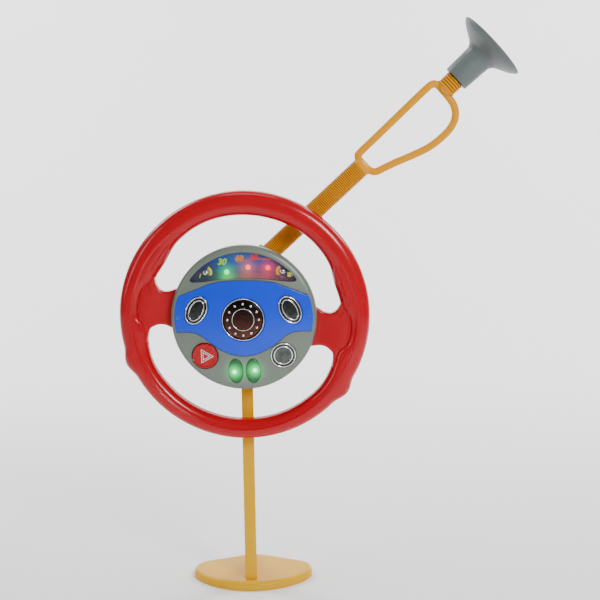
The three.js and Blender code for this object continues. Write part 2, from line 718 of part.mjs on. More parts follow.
// The speaker stands just in front of the battery compartment's floor.
const speakerBack = compartmentFloor - 2;
addPiece('speaker', turned([[0, speakerBack - 8.4], [6, speakerBack - 8.4], [6, speakerBack - 4.4],
  [speakerRadius, speakerBack - 1.4], [speakerRadius, speakerBack], [speakerRadius - 2, speakerBack],
  [4, speakerBack - 2.8], [0, speakerBack - 2.8]], 28, speakerX, speakerZ), darkPlastic);

// ---- Batteries, contacts, door ----

const cellAxisDepth = compartmentFloor + cellRadius + 0.6;
for (let i = 0; i < cellCount; i += 1) {
  const z = cellMiddleHeight + (i - (cellCount - 1) / 2) * cellPitch;
  const flip = i % 2 ? -1 : 1;
  const nub = [[0, 0], [2.7, 0], [2.7, 1.2], [cellRadius - 0.4, 1.2], [cellRadius, 1.8],
    [cellRadius, cellLength - 0.4], [cellRadius - 0.4, cellLength], [0, cellLength]];
  const points = nub.map(([radius, along]) => new THREE.Vector2(radius, along));
  const left = -compartmentHalfWidth + contactSheet + 2 * fixedGap;
  const cell = new THREE.LatheGeometry(points, 18).translate(0, left, 0).rotateZ(-Math.PI / 2)
    .scale(flip, 1, 1).translate(0, cellAxisDepth, z);
  addPiece(`battery_${i + 1}`, solid(cell), cellCase);
  const coil = [[0, 0], [3.4, 0], [4.6, springLength - 0.6], [0, springLength - 0.6]];
  const springPoints = coil.map(([radius, along]) => new THREE.Vector2(radius, along));
  const spring = new THREE.LatheGeometry(springPoints, 12)
    .translate(0, left + cellLength + fixedGap, 0).rotateZ(-Math.PI / 2).scale(flip, 1, 1)
    .translate(0, cellAxisDepth, z);
  addPiece(`battery_spring_${i + 1}`, solid(spring), steel);
}
for (const [name, side] of [['left', -1], ['right', 1]]) {
  const outer = side * (compartmentHalfWidth - fixedGap);
  const inner = side * (compartmentHalfWidth - fixedGap - contactSheet);
  addPiece(`${name}_contact_plate`, box(
    [Math.min(outer, inner), cellAxisDepth - 5, compartmentLow + 3],
    [Math.max(outer, inner), cellAxisDepth + 5, compartmentHigh - 3]), steel);
}

addPiece('battery_door', cut(doorSolid(0, doorFront, rearDepth), bar(
  screwRadius + fixedGap, doorFront - 1, rearDepth + 1, 10, ...doorScrewPlace)), darkPlastic);
addPiece('door_screw', screw(...doorScrewPlace, doorFront - 9, rearDepth + fixedGap), steel);

// ---- Case screws and power switch ----

housingScrewPlaces.forEach(([x, z], i) => {
  addPiece(`housing_screw_${i + 1}`, screw(x, z, screwTip, housingScrewHead), steel);
});
const knobLeft = switchX - slotHalf + slidingGap;
const knobPlate = shelfDepth - shellWall - fixedGap;
addPiece('switch_knob', join(
  box([knobLeft, knobPlate - 0.5, switchZ - knobHalfHeight],
    [knobLeft + knobWidth, shelfDepth + 1.4, switchZ + knobHalfHeight]),
  box([knobLeft - 2, knobPlate - 1.4, switchZ - knobHalfHeight - 1.5],
    [knobLeft + knobWidth + 2, knobPlate, switchZ + knobHalfHeight + 1.5])), redGloss);

// ---- Stand: one moulding of a T-section post, a gusset and a hollow foot ----

function footShape(shrink) {
  const half = footHalfWidth - shrink;
  const front = 3 + shrink;
  const apex = 92 - shrink * 1.1;
  const shape = new THREE.Shape();
  shape.moveTo(-half, 46);
  shape.bezierCurveTo(-half + 2, 30, -half + 28, front, 0, front);
  shape.bezierCurveTo(half - 28, front, half - 2, 30, half, 46);
  shape.quadraticCurveTo(half + 1, 64 - shrink, half - 10, 70 - shrink);
  shape.lineTo(10, apex - 2.6);
  shape.quadraticCurveTo(0, apex + 1, -10, apex - 2.6);
  shape.lineTo(-half + 10, 70 - shrink);
  shape.quadraticCurveTo(-half - 1, 64 - shrink, -half, 46);
  return shape;
}

const footLow = -hubHeight;
function footSlab(shape, low, high, round) {
  const options = round > 0
    ? { depth: high - low - 2 * round, bevelEnabled: true, bevelSize: round, bevelOffset: -round,
      bevelThickness: round, bevelSegments: 3 }
    : { depth: high - low, bevelEnabled: false };
  const geometry = new THREE.ExtrudeGeometry(shape, { curveSegments: 8, ...options });
  return solid(geometry.translate(0, 0, low + round));
}
const footTop = footLow + footHeight;
const footBody = footSlab(footShape(0), footLow - footRound, footTop, footRound).intersect(
  box([-100, -10, footLow], [100, 120, footTop + 1]));
const footRibs = join(
  box([-footRib / 2, 0, footLow - 1], [footRib / 2, 100, footTop]),
  box([-70, footMiddleDepth - footRib / 2, footLow - 1], [70, footMiddleDepth + footRib / 2, footTop]),
  solid(new THREE.CylinderGeometry(footPadRadius, footPadRadius, footHeight + 1, 20)
    .rotateX(Math.PI / 2).translate(0, footMiddleDepth, footLow + footHeight / 2 - 0.5)));
const footHollow = cut(footSlab(footShape(footWall + 1.2), footLow - 1, footTop - footWall, 0), footRibs);
const gussetOutline = [[postFront + 1, footTop - 1], [86, footTop - 1], [86, footTop + 0.5],
  [postFront + postDepth, footTop + gussetHeight], [postFront + 1, footTop + gussetHeight]];
const gussetShape = new THREE.Shape(gussetOutline.map(([y, z]) => new THREE.Vector2(y, z)));
const gusset = solid(new THREE.ExtrudeGeometry(gussetShape, { depth: postWeb, bevelEnabled: false })
  .rotateX(Math.PI / 2).rotateZ(Math.PI / 2).translate(-postWeb / 2, 0, 0));
addPiece('stand', join(
  cut(footBody, footHollow), postSolid(0, footTop - 1, postTop), gusset), yellowPlastic);
standScrewZ.forEach((z, i) => {
  const tip = postFront + postDepth + fixedGap;
  addPiece(`stand_screw_${i + 1}`, screw(0, z, tip, rearDepth + fixedGap), steel);
});

// ---- Arm: root on its pivot, ribbed tube, grab loop and suction cup ----

// The arm's group has x along the arm and z towards its upper left.
const armDepth = shelfDepth + slidingGap + armRadius + armShelfGap;
const armGroup = new THREE.Group();
armGroup.position.set(0, armDepth, pivotHeight);
armGroup.rotation.y = -radians(armAngle);
consoleGroup.add(armGroup);

// A solid turned round the arm's own axis from a profile of [distance, radius].
function along(profile, segments) {
  const points = profile.map(([distance, radius]) => new THREE.Vector2(radius, distance));
  return solid(new THREE.LatheGeometry(points, segments).rotateZ(-Math.PI / 2));
}

const rootHalf = armDepth - shelfDepth - slidingGap;
const root = join(
  bar(rootRadius, -rootHalf, rootHalf, 40),
  along([[0, 0], [0, armRadius - 0.4], [12, armRadius - 0.4], [14, armRadius + collarWall],
    [collarEnd, armRadius + collarWall], [collarEnd, 0]], 28));
const rootTrim = box([-30, -rootHalf, -30], [60, rootHalf, 30]);
addPiece('arm_root', cut(root.intersect(rootTrim),
  along([[rootRadius + 1, 0], [rootRadius + 1, armRadius + fixedGap],
    [collarEnd + 1, armRadius + fixedGap], [collarEnd + 1, 0]], 28),
  bar(pinRadius + slidingGap, -rootHalf - 1, rootHalf + 1, 24),
  bar(pinHeadRadius + slidingGap, rootHalf - 3.4, rootHalf + 1, 28)), darkPlastic, armGroup);

addPiece('ribbed_arm', along([[rootRadius + 1.4, armBore], [rootRadius + 1.4, armRadius],
  [armEnd, armRadius], [armEnd, armBore], [rootRadius + 1.4, armBore]], 28), orangePlastic, armGroup);

// The grab loop: a straight side in line with the arm and a bowed hand side.
function loopShape() {
  const wide = loopBarWidth;
  const shape = new THREE.Shape();
  shape.moveTo(loopStart, 6);
  shape.quadraticCurveTo(loopStart, 7.8 + wide, loopStart + 8, 8 + wide);
  shape.lineTo(loopEnd - 8, 9.4 + wide);
  shape.quadraticCurveTo(loopEnd, 9.2 + wide, loopEnd, 7);
  shape.bezierCurveTo(loopEnd + 2, -22, loopEnd - 13, -28.8 - wide, loopEnd - 36, -29.4 - wide);
  shape.bezierCurveTo(loopEnd - 57, -29.8 - wide, loopStart + 28, -18.6 - wide,
    loopStart + 9, -11.6 - wide);
  shape.quadraticCurveTo(loopStart, -8.6 - wide, loopStart, -8);
  const hole = new THREE.Path();
  hole.moveTo(loopStart + 6.4, 5);
  hole.quadraticCurveTo(loopStart + 6.4, 7.8, loopStart + 9, 8);
  hole.lineTo(loopEnd - 9, 9.4);
  hole.quadraticCurveTo(loopEnd - 6, 9.2, loopEnd - 6, 6);
  hole.lineTo(loopEnd - 6.4, -8);
  hole.bezierCurveTo(loopEnd - 8, -21, loopEnd - 18, -28.6, loopEnd - 37, -29.4);
  hole.bezierCurveTo(loopEnd - 56, -29.8, loopStart + 24, -17, loopStart + 8, -11);
  hole.quadraticCurveTo(loopStart + 6.2, -9.6, loopStart + 6.4, -7);
  return shapeWithHole(shape.getPoints(6), hole.getPoints(6));
}
const loopBar = roundedSlab(loopShape(), -loopThickness / 2, loopThickness / 2, 2.2, 2);
const loopPeg = along([[armEnd - 14, 0], [armEnd - 14, armBore - fixedGap],
  [armEnd + fixedGap, armBore - fixedGap], [armEnd + fixedGap, armRadius],
  [loopStart + 3, armRadius - 0.6], [loopStart + 5.5, 0]], 24);
const loopNeck = along([[loopEnd - 4, 0], [loopEnd - 1, neckRadius - 2], [loopEnd + 1, neckRadius],
  [cupMouth - fixedGap, neckRadius], [cupMouth - fixedGap, neckPegRadius],
  [cupMouth + 18, neckPegRadius], [cupMouth + 18, 0]], 24);
addPiece('grab_loop', join(loopBar, loopPeg, loopNeck), orangePlastic, armGroup);

const socketBore = along([[cupMouth - 1, 0], [cupMouth - 1, neckPegRadius + slidingGap],
  [cupMouth + 19, neckPegRadius + slidingGap], [cupMouth + 19, 0]], 24);
const cupBody = along([[cupMouth, 0], [cupMouth, cupSocketRadius - 0.8], [cupMouth + 1, cupSocketRadius],
  [cupJunction - 3, cupSocketRadius + 1], [cupJunction + 1.5, cupSocketRadius + 4.2],
  [cupJunction + 5, cupSocketRadius + 10], [cupLip - 6.5, cupRadius - 6],
  [cupLip - 2.2, cupRadius - 0.6], [cupLip - 0.8, cupRadius], [cupLip, cupRadius - 1],
  [cupLip - 1, cupRadius - 4], [cupLip - 6.4 + cupWall * 0.6, cupRadius - 12],
  [cupJunction + 4 + cupWall, cupSocketRadius], [cupJunction + 2 + cupWall, 0]], 34);
addPiece('suction_cup', cut(cupBody, socketBore), cupGrey, armGroup);

// ---- Arm pivot: a bolt through the case wall with a nut inside ----

const boltEnd = shelfDepth - shellWall - 4.5;
const boltHead = armDepth + rootHalf - 3;
addPiece('arm_pivot_bolt', turned([[0, boltEnd], [pinRadius, boltEnd], [pinRadius, boltHead],
  [pinHeadRadius, boltHead], [pinHeadRadius, boltHead + 2], [pinHeadRadius - 1, boltHead + 3],
  [0, boltHead + 3]], 20, 0, pivotHeight), steel);
const nutBack = shelfDepth - shellWall - fixedGap;
const nutBore = (pinRadius + fixedGap) / Math.cos(Math.PI / 6);
addPiece('arm_pivot_nut', ring(nutBore, 7.4, nutBack - 3.2, nutBack, 6, 0, pivotHeight), steel);

export default steeringToy;
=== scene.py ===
import json
import math

import bmesh
import bpy
import numpy as np
from mathutils import Matrix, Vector
from mathutils.geometry import delaunay_2d_cdt


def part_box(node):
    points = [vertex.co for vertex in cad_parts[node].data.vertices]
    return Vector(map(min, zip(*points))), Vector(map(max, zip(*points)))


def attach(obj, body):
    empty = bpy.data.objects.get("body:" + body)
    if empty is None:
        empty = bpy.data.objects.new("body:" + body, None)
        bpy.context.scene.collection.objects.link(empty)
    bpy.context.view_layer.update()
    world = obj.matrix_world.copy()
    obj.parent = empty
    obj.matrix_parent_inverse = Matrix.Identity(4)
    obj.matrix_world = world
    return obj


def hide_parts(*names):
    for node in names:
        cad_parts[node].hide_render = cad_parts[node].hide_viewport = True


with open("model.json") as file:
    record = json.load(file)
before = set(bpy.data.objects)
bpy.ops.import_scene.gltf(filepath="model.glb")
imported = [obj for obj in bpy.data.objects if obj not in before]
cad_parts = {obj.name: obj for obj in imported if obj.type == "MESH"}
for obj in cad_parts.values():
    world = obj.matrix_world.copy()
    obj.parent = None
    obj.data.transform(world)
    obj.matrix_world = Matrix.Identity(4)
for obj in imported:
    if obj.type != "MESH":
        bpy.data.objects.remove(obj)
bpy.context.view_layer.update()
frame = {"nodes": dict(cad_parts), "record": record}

# ---- Camera ----
# It stands 1.25 m from the wheel's hub, a little to its right and 9 degrees above it.
# Sizes in the sections below are in millimetres from the middle of that hub.

joints = {joint["name"]: joint for joint in frame["record"]["behaviour"]["joints"]}
hub = np.array(joints["wheel_turn"]["pos_m"])
look_azimuth, look_elevation, lean = np.radians([1.5, 9.0, 0.8])
look_distance = 1.250
hub_across, hub_over = -0.0553, -0.0157
backward = np.array([math.sin(look_azimuth) * math.cos(look_elevation),
                     -math.cos(look_azimuth) * math.cos(look_elevation), math.sin(look_elevation)])
level = np.array([math.cos(look_azimuth), math.sin(look_azimuth), 0])
upright = np.cross(backward, level)
camera_right = math.cos(lean) * level - math.sin(lean) * upright
camera_up = math.sin(lean) * level + math.cos(lean) * upright
camera_data = bpy.data.cameras.new("camera")
camera_data.sensor_width = 36
camera_data.lens = 75
camera = bpy.data.objects.new("camera", camera_data)
bpy.context.scene.collection.objects.link(camera)
camera_place = hub - (hub_across * camera_right + hub_over * camera_up - look_distance * backward)
camera_turn = np.eye(4)
camera_turn[:3, 0], camera_turn[:3, 1], camera_turn[:3, 2] = camera_right, camera_up, backward
camera_turn[:3, 3] = camera_place
camera.matrix_world = Matrix(camera_turn.tolist())
bpy.context.scene.camera = camera

# ---- Studio ----
# A seamless sweep of pale paper under soft boxes. Two of the boxes stand behind the
# toy and light only the sweep.


def grid_faces(rows, columns, wrap_rows=False, wrap_columns=False):
    """The quads of a grid of points numbered row by row, closed round where it wraps."""
    row = np.arange(rows if wrap_rows else rows - 1)[:, None]
    column = np.arange(columns if wrap_columns else columns - 1)[None, :]
    next_row = (row + 1) % rows
    next_column = (column + 1) % columns
    corners = (row * columns + column, row * columns + next_column,
               next_row * columns + next_column, next_row * columns + column)
    return np.stack(np.broadcast_arrays(*corners), axis=-1).reshape(-1, 4)


def skin(name, *patches, crease=35):
    """One mesh from patches of (points, faces): doubles merged, faces turned outwards,
    smooth except where two faces meet at more than the crease angle."""
    points, faces, count = [], [], 0
    for patch_points, patch_faces in patches:
        patch_points = np.asarray(patch_points).reshape(-1, 3)
        points.append(patch_points)
        faces.extend([int(corner) + count for corner in face] for face in patch_faces)
        count += len(patch_points)
    mesh = bpy.data.meshes.new(name)
    mesh.from_pydata(np.concatenate(points).tolist(), [], faces)
    shape = bmesh.new()
    shape.from_mesh(mesh)
    bmesh.ops.remove_doubles(shape, verts=shape.verts, dist=3e-6)
    bmesh.ops.dissolve_degenerate(shape, edges=shape.edges, dist=1e-6)
    bmesh.ops.recalc_face_normals(shape, faces=shape.faces)
    shape.to_mesh(mesh)
    shape.free()
    mesh.shade_smooth()
    mesh.set_sharp_from_angle(angle=math.radians(crease))
    piece = bpy.data.objects.new(name, mesh)
    bpy.context.scene.collection.objects.link(piece)
    return piece


def add_node(tree, kind, settings=(), **inputs):
    """A shader node with its settings, and its named sockets set or linked."""
    node = tree.nodes.new(kind)
    for setting, value in dict(settings).items():
        setattr(node, setting, value)
    for socket, value in inputs.items():
        target = node.inputs[socket.replace("_", " ")]
        if isinstance(value, bpy.types.NodeSocket):
            tree.links.new(value, target)
        else:
            target.default_value = value
    return node


def mix_colours(tree, share, first, second, how="MIX"):
    """Two colours mixed by a share, as a socket."""
    node = tree.nodes.new("ShaderNodeMixRGB")
    node.blend_type = how
    for socket, value in zip(node.inputs, (share, first, second)):
        if isinstance(value, bpy.types.NodeSocket):
            tree.links.new(value, socket)
        else:
            socket.default_value = value
    return node.outputs[0]


def moulded(name, colour, roughness, wander=0.12, patch=22, grain=0.03, grain_size=0.5, **sockets):
    """Moulded plastic: slow noise, patch millimetres across, wanders the colour by a
    share, finer noise wanders the gloss, and the finest is a faint bump of grain_size."""
    material = bpy.data.materials.new(name)
    material.use_nodes = True
    tree = material.node_tree
    shader = tree.nodes["Principled BSDF"]
    place = tree.nodes.new("ShaderNodeTexCoord").outputs["Object"]
    slow = add_node(tree, "ShaderNodeTexNoise", Vector=place, Scale=1000 / patch, Detail=3.0)
    fine = add_node(tree, "ShaderNodeTexNoise", Vector=place, Scale=420.0, Detail=4.0)
    finest = add_node(tree, "ShaderNodeTexNoise", Vector=place, Scale=1000 / grain_size, Detail=2.0)
    full = (*colour, 1)
    darker = tuple(c * (1 - wander) for c in colour) + (1,)
    tree.links.new(mix_colours(tree, slow.outputs["Fac"], full, darker), shader.inputs["Base Color"])
    gloss = add_node(tree, "ShaderNodeMapRange", Value=fine.outputs["Fac"],
                     To_Min=roughness * 0.85, To_Max=roughness * 1.2)
    tree.links.new(gloss.outputs[0], shader.inputs["Roughness"])
    bump = add_node(tree, "ShaderNodeBump", Height=finest.outputs["Fac"], Strength=grain,
                    Distance=0.0004)
    tree.links.new(bump.outputs[0], shader.inputs["Normal"])
    for socket, value in sockets.items():
        shader.inputs[socket.replace("_", " ")].default_value = value
    return material


across = np.linspace(-4, 4, 41)
bend = np.linspace(0, np.pi / 2, 24)
sweep_y = np.concatenate([[-4, -2, -1, 0, 0.6], 1.0 + np.sin(bend), [2.0, 2.0]])
sweep_z = np.concatenate([[0] * 5, 1 - np.cos(bend), [2.2, 4.0]])
sweep_points = np.stack([np.broadcast_to(across[:, None], (41, len(sweep_y))),
                         np.broadcast_to(sweep_y, (41, len(sweep_y))),
                         np.broadcast_to(sweep_z, (41, len(sweep_y)))], axis=-1)
sweep = skin("studio_sweep", (sweep_points, grid_faces(41, len(sweep_y))))
sweep.data.materials.append(moulded("studio_paper", (0.93, 0.93, 0.93), 0.8, wander=0.01))

world = bpy.data.worlds.new("studio_air")
bpy.context.scene.world = world
world.use_nodes = True
world.node_tree.nodes["Background"].inputs["Color"].default_value = (1, 1, 1, 1)
world.node_tree.nodes["Background"].inputs["Strength"].default_value = 0.24


def soft_box(name, place, target, width, height, power):
    """A rectangular light that faces a point."""
    light = bpy.data.lights.new(name, "AREA")
    light.shape = "RECTANGLE"
    light.size, light.size_y, light.energy = width, height, power
    lamp = bpy.data.objects.new(name, light)
    bpy.context.scene.collection.objects.link(lamp)
    away = np.array(place, float) - np.array(target, float)
    away /= np.linalg.norm(away)
    side = np.cross([0, 0, 1], away)
    side /= np.linalg.norm(side)
    over = np.cross(away, side)
    turn = np.eye(4)
    turn[:3, 0], turn[:3, 1], turn[:3, 2], turn[:3, 3] = side, over, away, place
    lamp.matrix_world = Matrix(turn.tolist())


soft_box("key_box", (0.8, -1.25, 1.0), hub, 0.4, 0.5, 21)
soft_box("left_strip", (-1.3, -0.9, 0.75), hub, 0.12, 0.9, 4)
soft_box("top_box", (0.0, -0.1, 1.9), hub, 0.8, 0.5, 5)
soft_box("left_backdrop_box", (-1.2, 0.75, 1.5), (-0.3, 2.0, 0.5), 0.6, 0.9, 48)
soft_box("right_backdrop_box", (1.2, 0.75, 1.5), (0.3, 2.0, 0.5), 0.6, 0.9, 48)

# ---- Wheel ----
# Two glossy red half shells, screwed together round the console's neck. The rim is
# a fat rounded section with a pressed line inside it, leaf-shaped thumb pads and
# two broad spokes that sink towards the hub.


def at_hub(x, y, z):
    """Places in metres: millimetres right, back and up from the hub's middle."""
    return np.stack(np.broadcast_arrays(x, y, z), axis=-1) / 1000 + hub


def finish_piece(piece, material, body, replaces=()):
    """Gives a piece its material and the body it moves with, and hides the CAD parts that it replaces."""
    piece.data.materials.clear()
    piece.data.materials.append(material)
    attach(piece, body)
    if replaces:
        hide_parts(*replaces)
    return piece


def capped_faces(rows, columns):
    """The faces of a grid that closes round across its rows, its first and last row filled."""
    ends = [list(range(columns)), list(range((rows - 1) * columns, rows * columns))]
    return grid_faces(rows, columns, wrap_columns=True).tolist() + ends


wheel_red = moulded("glossy_red_plastic", (0.46, 0.0, 0.007), 0.2, wander=0.12, grain=0.02,
                    grain_size=1.2, Coat_Weight=0.1, Coat_Roughness=0.06, Specular_IOR_Level=0.32)
REST_TURN = math.radians(8.2)
RIM_RADIUS, RIM_DEPTH, RING_RADIUS, RING_BORE = 125.2, 12.0, 68.0, 53.0
PARTING, RIM_SQUARENESS = 0.15, 2.5
SPOKE_LOW, SPOKE_HIGH, SPOKE_ROLL = 76, 100, 2.6


def eased(value, places, heights):
    """A cubic curve through (place, height) points: its slope at each point is the
    average of the slopes on its two sides."""
    places, heights = np.asarray(places, float), np.asarray(heights, float)
    slope = np.gradient(heights, places)
    i = np.clip(np.searchsorted(places, value) - 1, 0, len(places) - 2)
    span = places[i + 1] - places[i]
    t = np.clip((value - places[i]) / span, 0, 1)
    return ((2 * t**3 - 3 * t**2 + 1) * heights[i] + (t**3 - 2 * t**2 + t) * span * slope[i]
            + (3 * t**2 - 2 * t**3) * heights[i + 1] + (t**3 - t**2) * span * slope[i + 1])


def on_wheel(angle, radius, depth):
    """A place on the wheel: angle in radians from its lowest point, turned to rest."""
    return at_hub(radius * np.sin(angle - REST_TURN), depth, -radius * np.cos(angle - REST_TURN))


def rim_outer(degrees):
    """The rim's outer radius: a circle with a low hump at each lower grip."""
    hump = np.clip(1 - np.abs(np.abs(degrees) - 60.5) / 8, 0, 1)
    return RIM_RADIUS + 2 * (1 - np.cos(np.pi * hump))


def rim_inner(degrees):
    """The rim's inner radius: wide at the top, a bump over each spoke, and cut back
    where the spoke's floor starts."""
    return eased(np.abs(degrees), [0, 40, 58, 66, 72, 76, 79, 82, 86, 94, 98, 101, 104, 107, 112, 117,
                                   122, 127, 140, 180],
                 [105.4, 104.4, 103, 100.6, 98.4, 97.8, 99.4, 103.4, 104.6, 104.2, 102.6, 98.8, 96.6,
                  96.2, 95.4, 95.2, 96.4, 98.2, 100.2, 100.8])


def rim_crown(share):
    """The rim's rounded box section: how far it stands out at a share of its width."""
    return RIM_DEPTH * (1 - np.abs(2 * share - 1) ** RIM_SQUARENESS) ** (1 / RIM_SQUARENESS)


def rim_face(degrees, radius):
    """How far the rim's front stands out at a radius: a rounded box section, pressed
    down inside a line that runs from grip to grip round the bottom."""
    inner, outer = rim_inner(degrees), rim_outer(degrees)
    share = np.clip((radius - inner) / (outer - inner), 0, 1)
    crown = rim_crown(share)
    line = eased(np.abs(degrees), [0, 35, 60, 85, 110, 136], [114.6, 113.4, 112, 111.8, 111.2, 109])
    inside = np.clip((line - radius) / 1.5 + 0.5, 0, 1)
    pressed = inside * inside * (3 - 2 * inside) * np.clip((136 - np.abs(degrees)) / 10, 0, 1)
    return crown - 1.1 * pressed * np.clip(crown / 8, 0, 1)


rim_angle = np.linspace(-180, 180, 541)[:-1][:, None]
rim_share = 0.5 - 0.5 * np.cos(np.linspace(0.03, np.pi - 0.03, 76))[None, :]


def rim_half(side):
    """Half the rim as a closed ring: side -1 is the front, with its pressed line."""
    inner, outer = rim_inner(rim_angle), rim_outer(rim_angle)
    radius = inner + rim_share * (outer - inner)
    if side < 0:
        stand = rim_face(rim_angle, radius)
    else:
        stand = rim_crown(rim_share) + 0 * rim_angle
    depth = side * np.maximum(stand, PARTING)
    radius = np.concatenate([inner + 0.45, radius, outer - 0.45], axis=1)
    edge = np.full_like(inner, side * PARTING)
    depth = np.concatenate([edge, depth, edge], axis=1)
    points = on_wheel(np.radians(rim_angle), radius, depth)
    return points, grid_faces(*radius.shape, wrap_rows=True, wrap_columns=True)


def spoke_face(radius):
    """How far a spoke stands out: level beside the ring, then rising to the rim."""
    rise = np.clip((radius - 75) / 26, 0, 1)
    return 4.9 + 2.0 * rise * rise * (3 - 2 * rise)


def spoke_half(side, hand):
    """Half of one spoke: a plate between two flaring edges, rolled over along them,
    rising a little towards the rim."""
    radius = np.linspace(RING_RADIUS - 8, 108, 48)[:, None]
    low = np.radians(SPOKE_LOW - eased(radius, [58, 65, 73, 80, 91, 96, 99, 108], [8, 6, 3, 0, 0, 2, 6, 16]))
    high = np.radians(SPOKE_HIGH + eased(radius, [58, 65, 72, 80, 88, 94, 99, 108],
                                         [9, 7, 5, 0.6, 0, 3, 8, 18]))
    share = (0.5 - 0.5 * np.cos(np.linspace(0, np.pi, 60)))[None, :]
    angle = low + share * (high - low)
    from_edge = np.minimum(share, 1 - share) * (high - low) * radius
    roll = np.clip(1 - from_edge / SPOKE_ROLL, 0, 1)
    face = spoke_face(radius) - SPOKE_ROLL * (1 - np.sqrt(1 - roll * roll))
    back = np.full_like(face, PARTING)
    depth = side * np.concatenate([face, back[:, ::-1]], axis=1)
    angle = hand * np.concatenate([angle, angle[:, ::-1]], axis=1)
    points = on_wheel(angle, np.broadcast_to(radius, angle.shape), depth)
    return points, capped_faces(*angle.shape)


def circle_loop(radius, x=0.0, z=0.0, count=96):
    """A circle of points in x and z, anticlockwise seen from the front."""
    turn = np.linspace(0, 2 * np.pi, count + 1)[:-1]
    return np.stack([x + radius * np.cos(turn), z + radius * np.sin(turn)], axis=-1)


def loop_normals(loop):
    """The outward direction at each point of an anticlockwise loop."""
    along = np.roll(loop, -1, axis=0) - np.roll(loop, 1, axis=0)
    along /= np.linalg.norm(along, axis=1, keepdims=True)
    return np.stack([along[:, 1], -along[:, 0]], axis=-1)


def inside_loop(points, loop):
    """Which points lie inside a loop, by counting the edges that a ray crosses."""
    start, end = loop[None], np.roll(loop, -1, axis=0)[None]
    x, z = points[:, None, 0], points[:, None, 1]
    crosses = (start[..., 1] > z) != (end[..., 1] > z)
    with np.errstate(divide="ignore", invalid="ignore"):
        meet = start[..., 0] + (z - start[..., 1]) / (end[..., 1] - start[..., 1]) * (
            end[..., 0] - start[..., 0])
    return np.sum(crosses & (x < meet), axis=1) % 2 == 1


def even_loop(loop, spacing):
    """The same loop with points at an even spacing."""
    closed = np.concatenate([loop, loop[:1]])
    length = np.concatenate([[0], np.cumsum(np.linalg.norm(np.diff(closed, axis=0), axis=1))])
    count = max(12, int(length[-1] / spacing))
    at = np.linspace(0, length[-1], count + 1)[:-1]
    return np.stack([np.interp(at, length, closed[:, k]) for k in (0, 1)], axis=-1)


def pierced_sheet(outline, holes, front, wall, edge, hole_edge=0.5, spacing=2.0, extra=None,
                  turn=None):
    """A sheet with holes whose front follows front(x, z), with rounded edges. edge lists
    the outer edge's section as (outward, backward) steps, ending at its back corner; a
    hole's edge is a quarter circle and then a straight wall."""
    place = turn or at_hub
    loops, rings = [], []
    outer = even_loop(outline, 1.2)
    loops.append(outer)
    steps = np.array(edge, float)
    rings.append((outer, loop_normals(outer), steps))
    quarter = np.linspace(0, np.pi / 2, 5)[1:]
    hole_steps = np.concatenate([
        np.stack([hole_edge * np.sin(quarter), hole_edge * (1 - np.cos(quarter))], axis=-1),
        [[hole_edge, wall]]])
    for hole in holes:
        grown = even_loop(hole + loop_normals(hole) * hole_edge, 0.9)
        loops.append(grown)
        rings.append((grown, -loop_normals(grown), hole_steps))
    border = np.concatenate(loops)
    low, high = outer.min(axis=0), outer.max(axis=0)
    xs, zs = np.arange(low[0], high[0], spacing), np.arange(low[1], high[1], spacing * 0.866)
    field = np.stack(np.broadcast_arrays(
        xs[None, :] + spacing / 2 * (np.arange(len(zs)) % 2)[:, None], zs[:, None]), axis=-1).reshape(-1, 2)
    if extra is not None:
        clear = np.min(np.linalg.norm(field[:, None] - extra[None], axis=2), axis=1) > spacing * 0.45
        field = np.concatenate([field[clear], extra])
    gap = np.concatenate([np.min(np.linalg.norm(part[:, None] - border[None], axis=2), axis=1)
                          for part in np.array_split(field, max(1, len(field) // 400))])
    keep = (gap > 0.45 * min(spacing, 1.2)) & inside_loop(field, outer)
    for hole in loops[1:]:
        keep &= ~inside_loop(field, hole)
    flat = np.concatenate([border, field[keep]])
    edges, start = [], 0
    for loop in loops:
        number = np.arange(len(loop))
        edges.extend(np.stack([start + number, start + (number + 1) % len(loop)], axis=-1).tolist())
        start += len(loop)
    result = delaunay_2d_cdt([tuple(p) for p in flat], edges, [], 0, 1e-6)
    flat = np.array([tuple(p) for p in result[0]])
    faces = np.array(result[2])
    middle = flat[faces].mean(axis=1)
    wanted = inside_loop(middle, outer)
    for hole in loops[1:]:
        wanted &= ~inside_loop(middle, hole)
    faces = faces[wanted]
    height = front(flat[:, 0], flat[:, 1])
    patches = [(place(flat[:, 0], height, flat[:, 1]), faces)]
    patches.append((place(flat[:, 0], height + wall, flat[:, 1]), faces))
    for loop, out, section in rings:
        base = front(loop[:, 0], loop[:, 1])
        ring = loop[None] + out[None] * section[:, 0][:, None, None]
        depth = base[None] + section[:, 1][:, None]
        ring = np.concatenate([loop[None], ring, loop[None]])
        depth = np.concatenate([base[None], depth, (base + wall)[None]])
        points = place(ring[..., 0], depth, ring[..., 1])
        patches.append((points, grid_faces(*depth.shape, wrap_columns=True)))
    return patches


def quarter_edge(radius, back, steps=5):
    """An outer edge's section: a quarter circle and then straight back."""
    turn = np.linspace(0, np.pi / 2, steps + 1)[1:]
    return [*zip(radius * np.sin(turn), radius * (1 - np.cos(turn))), (radius, back)]


screw_places = [(RING_RADIUS - 6, degrees) for degrees in (60, 120, -60, -120)]


def wheel_plane(x, depth, z):
    """A place given by x and z on the unturned wheel."""
    return on_wheel(np.arctan2(x, -z), np.hypot(x, z), depth)


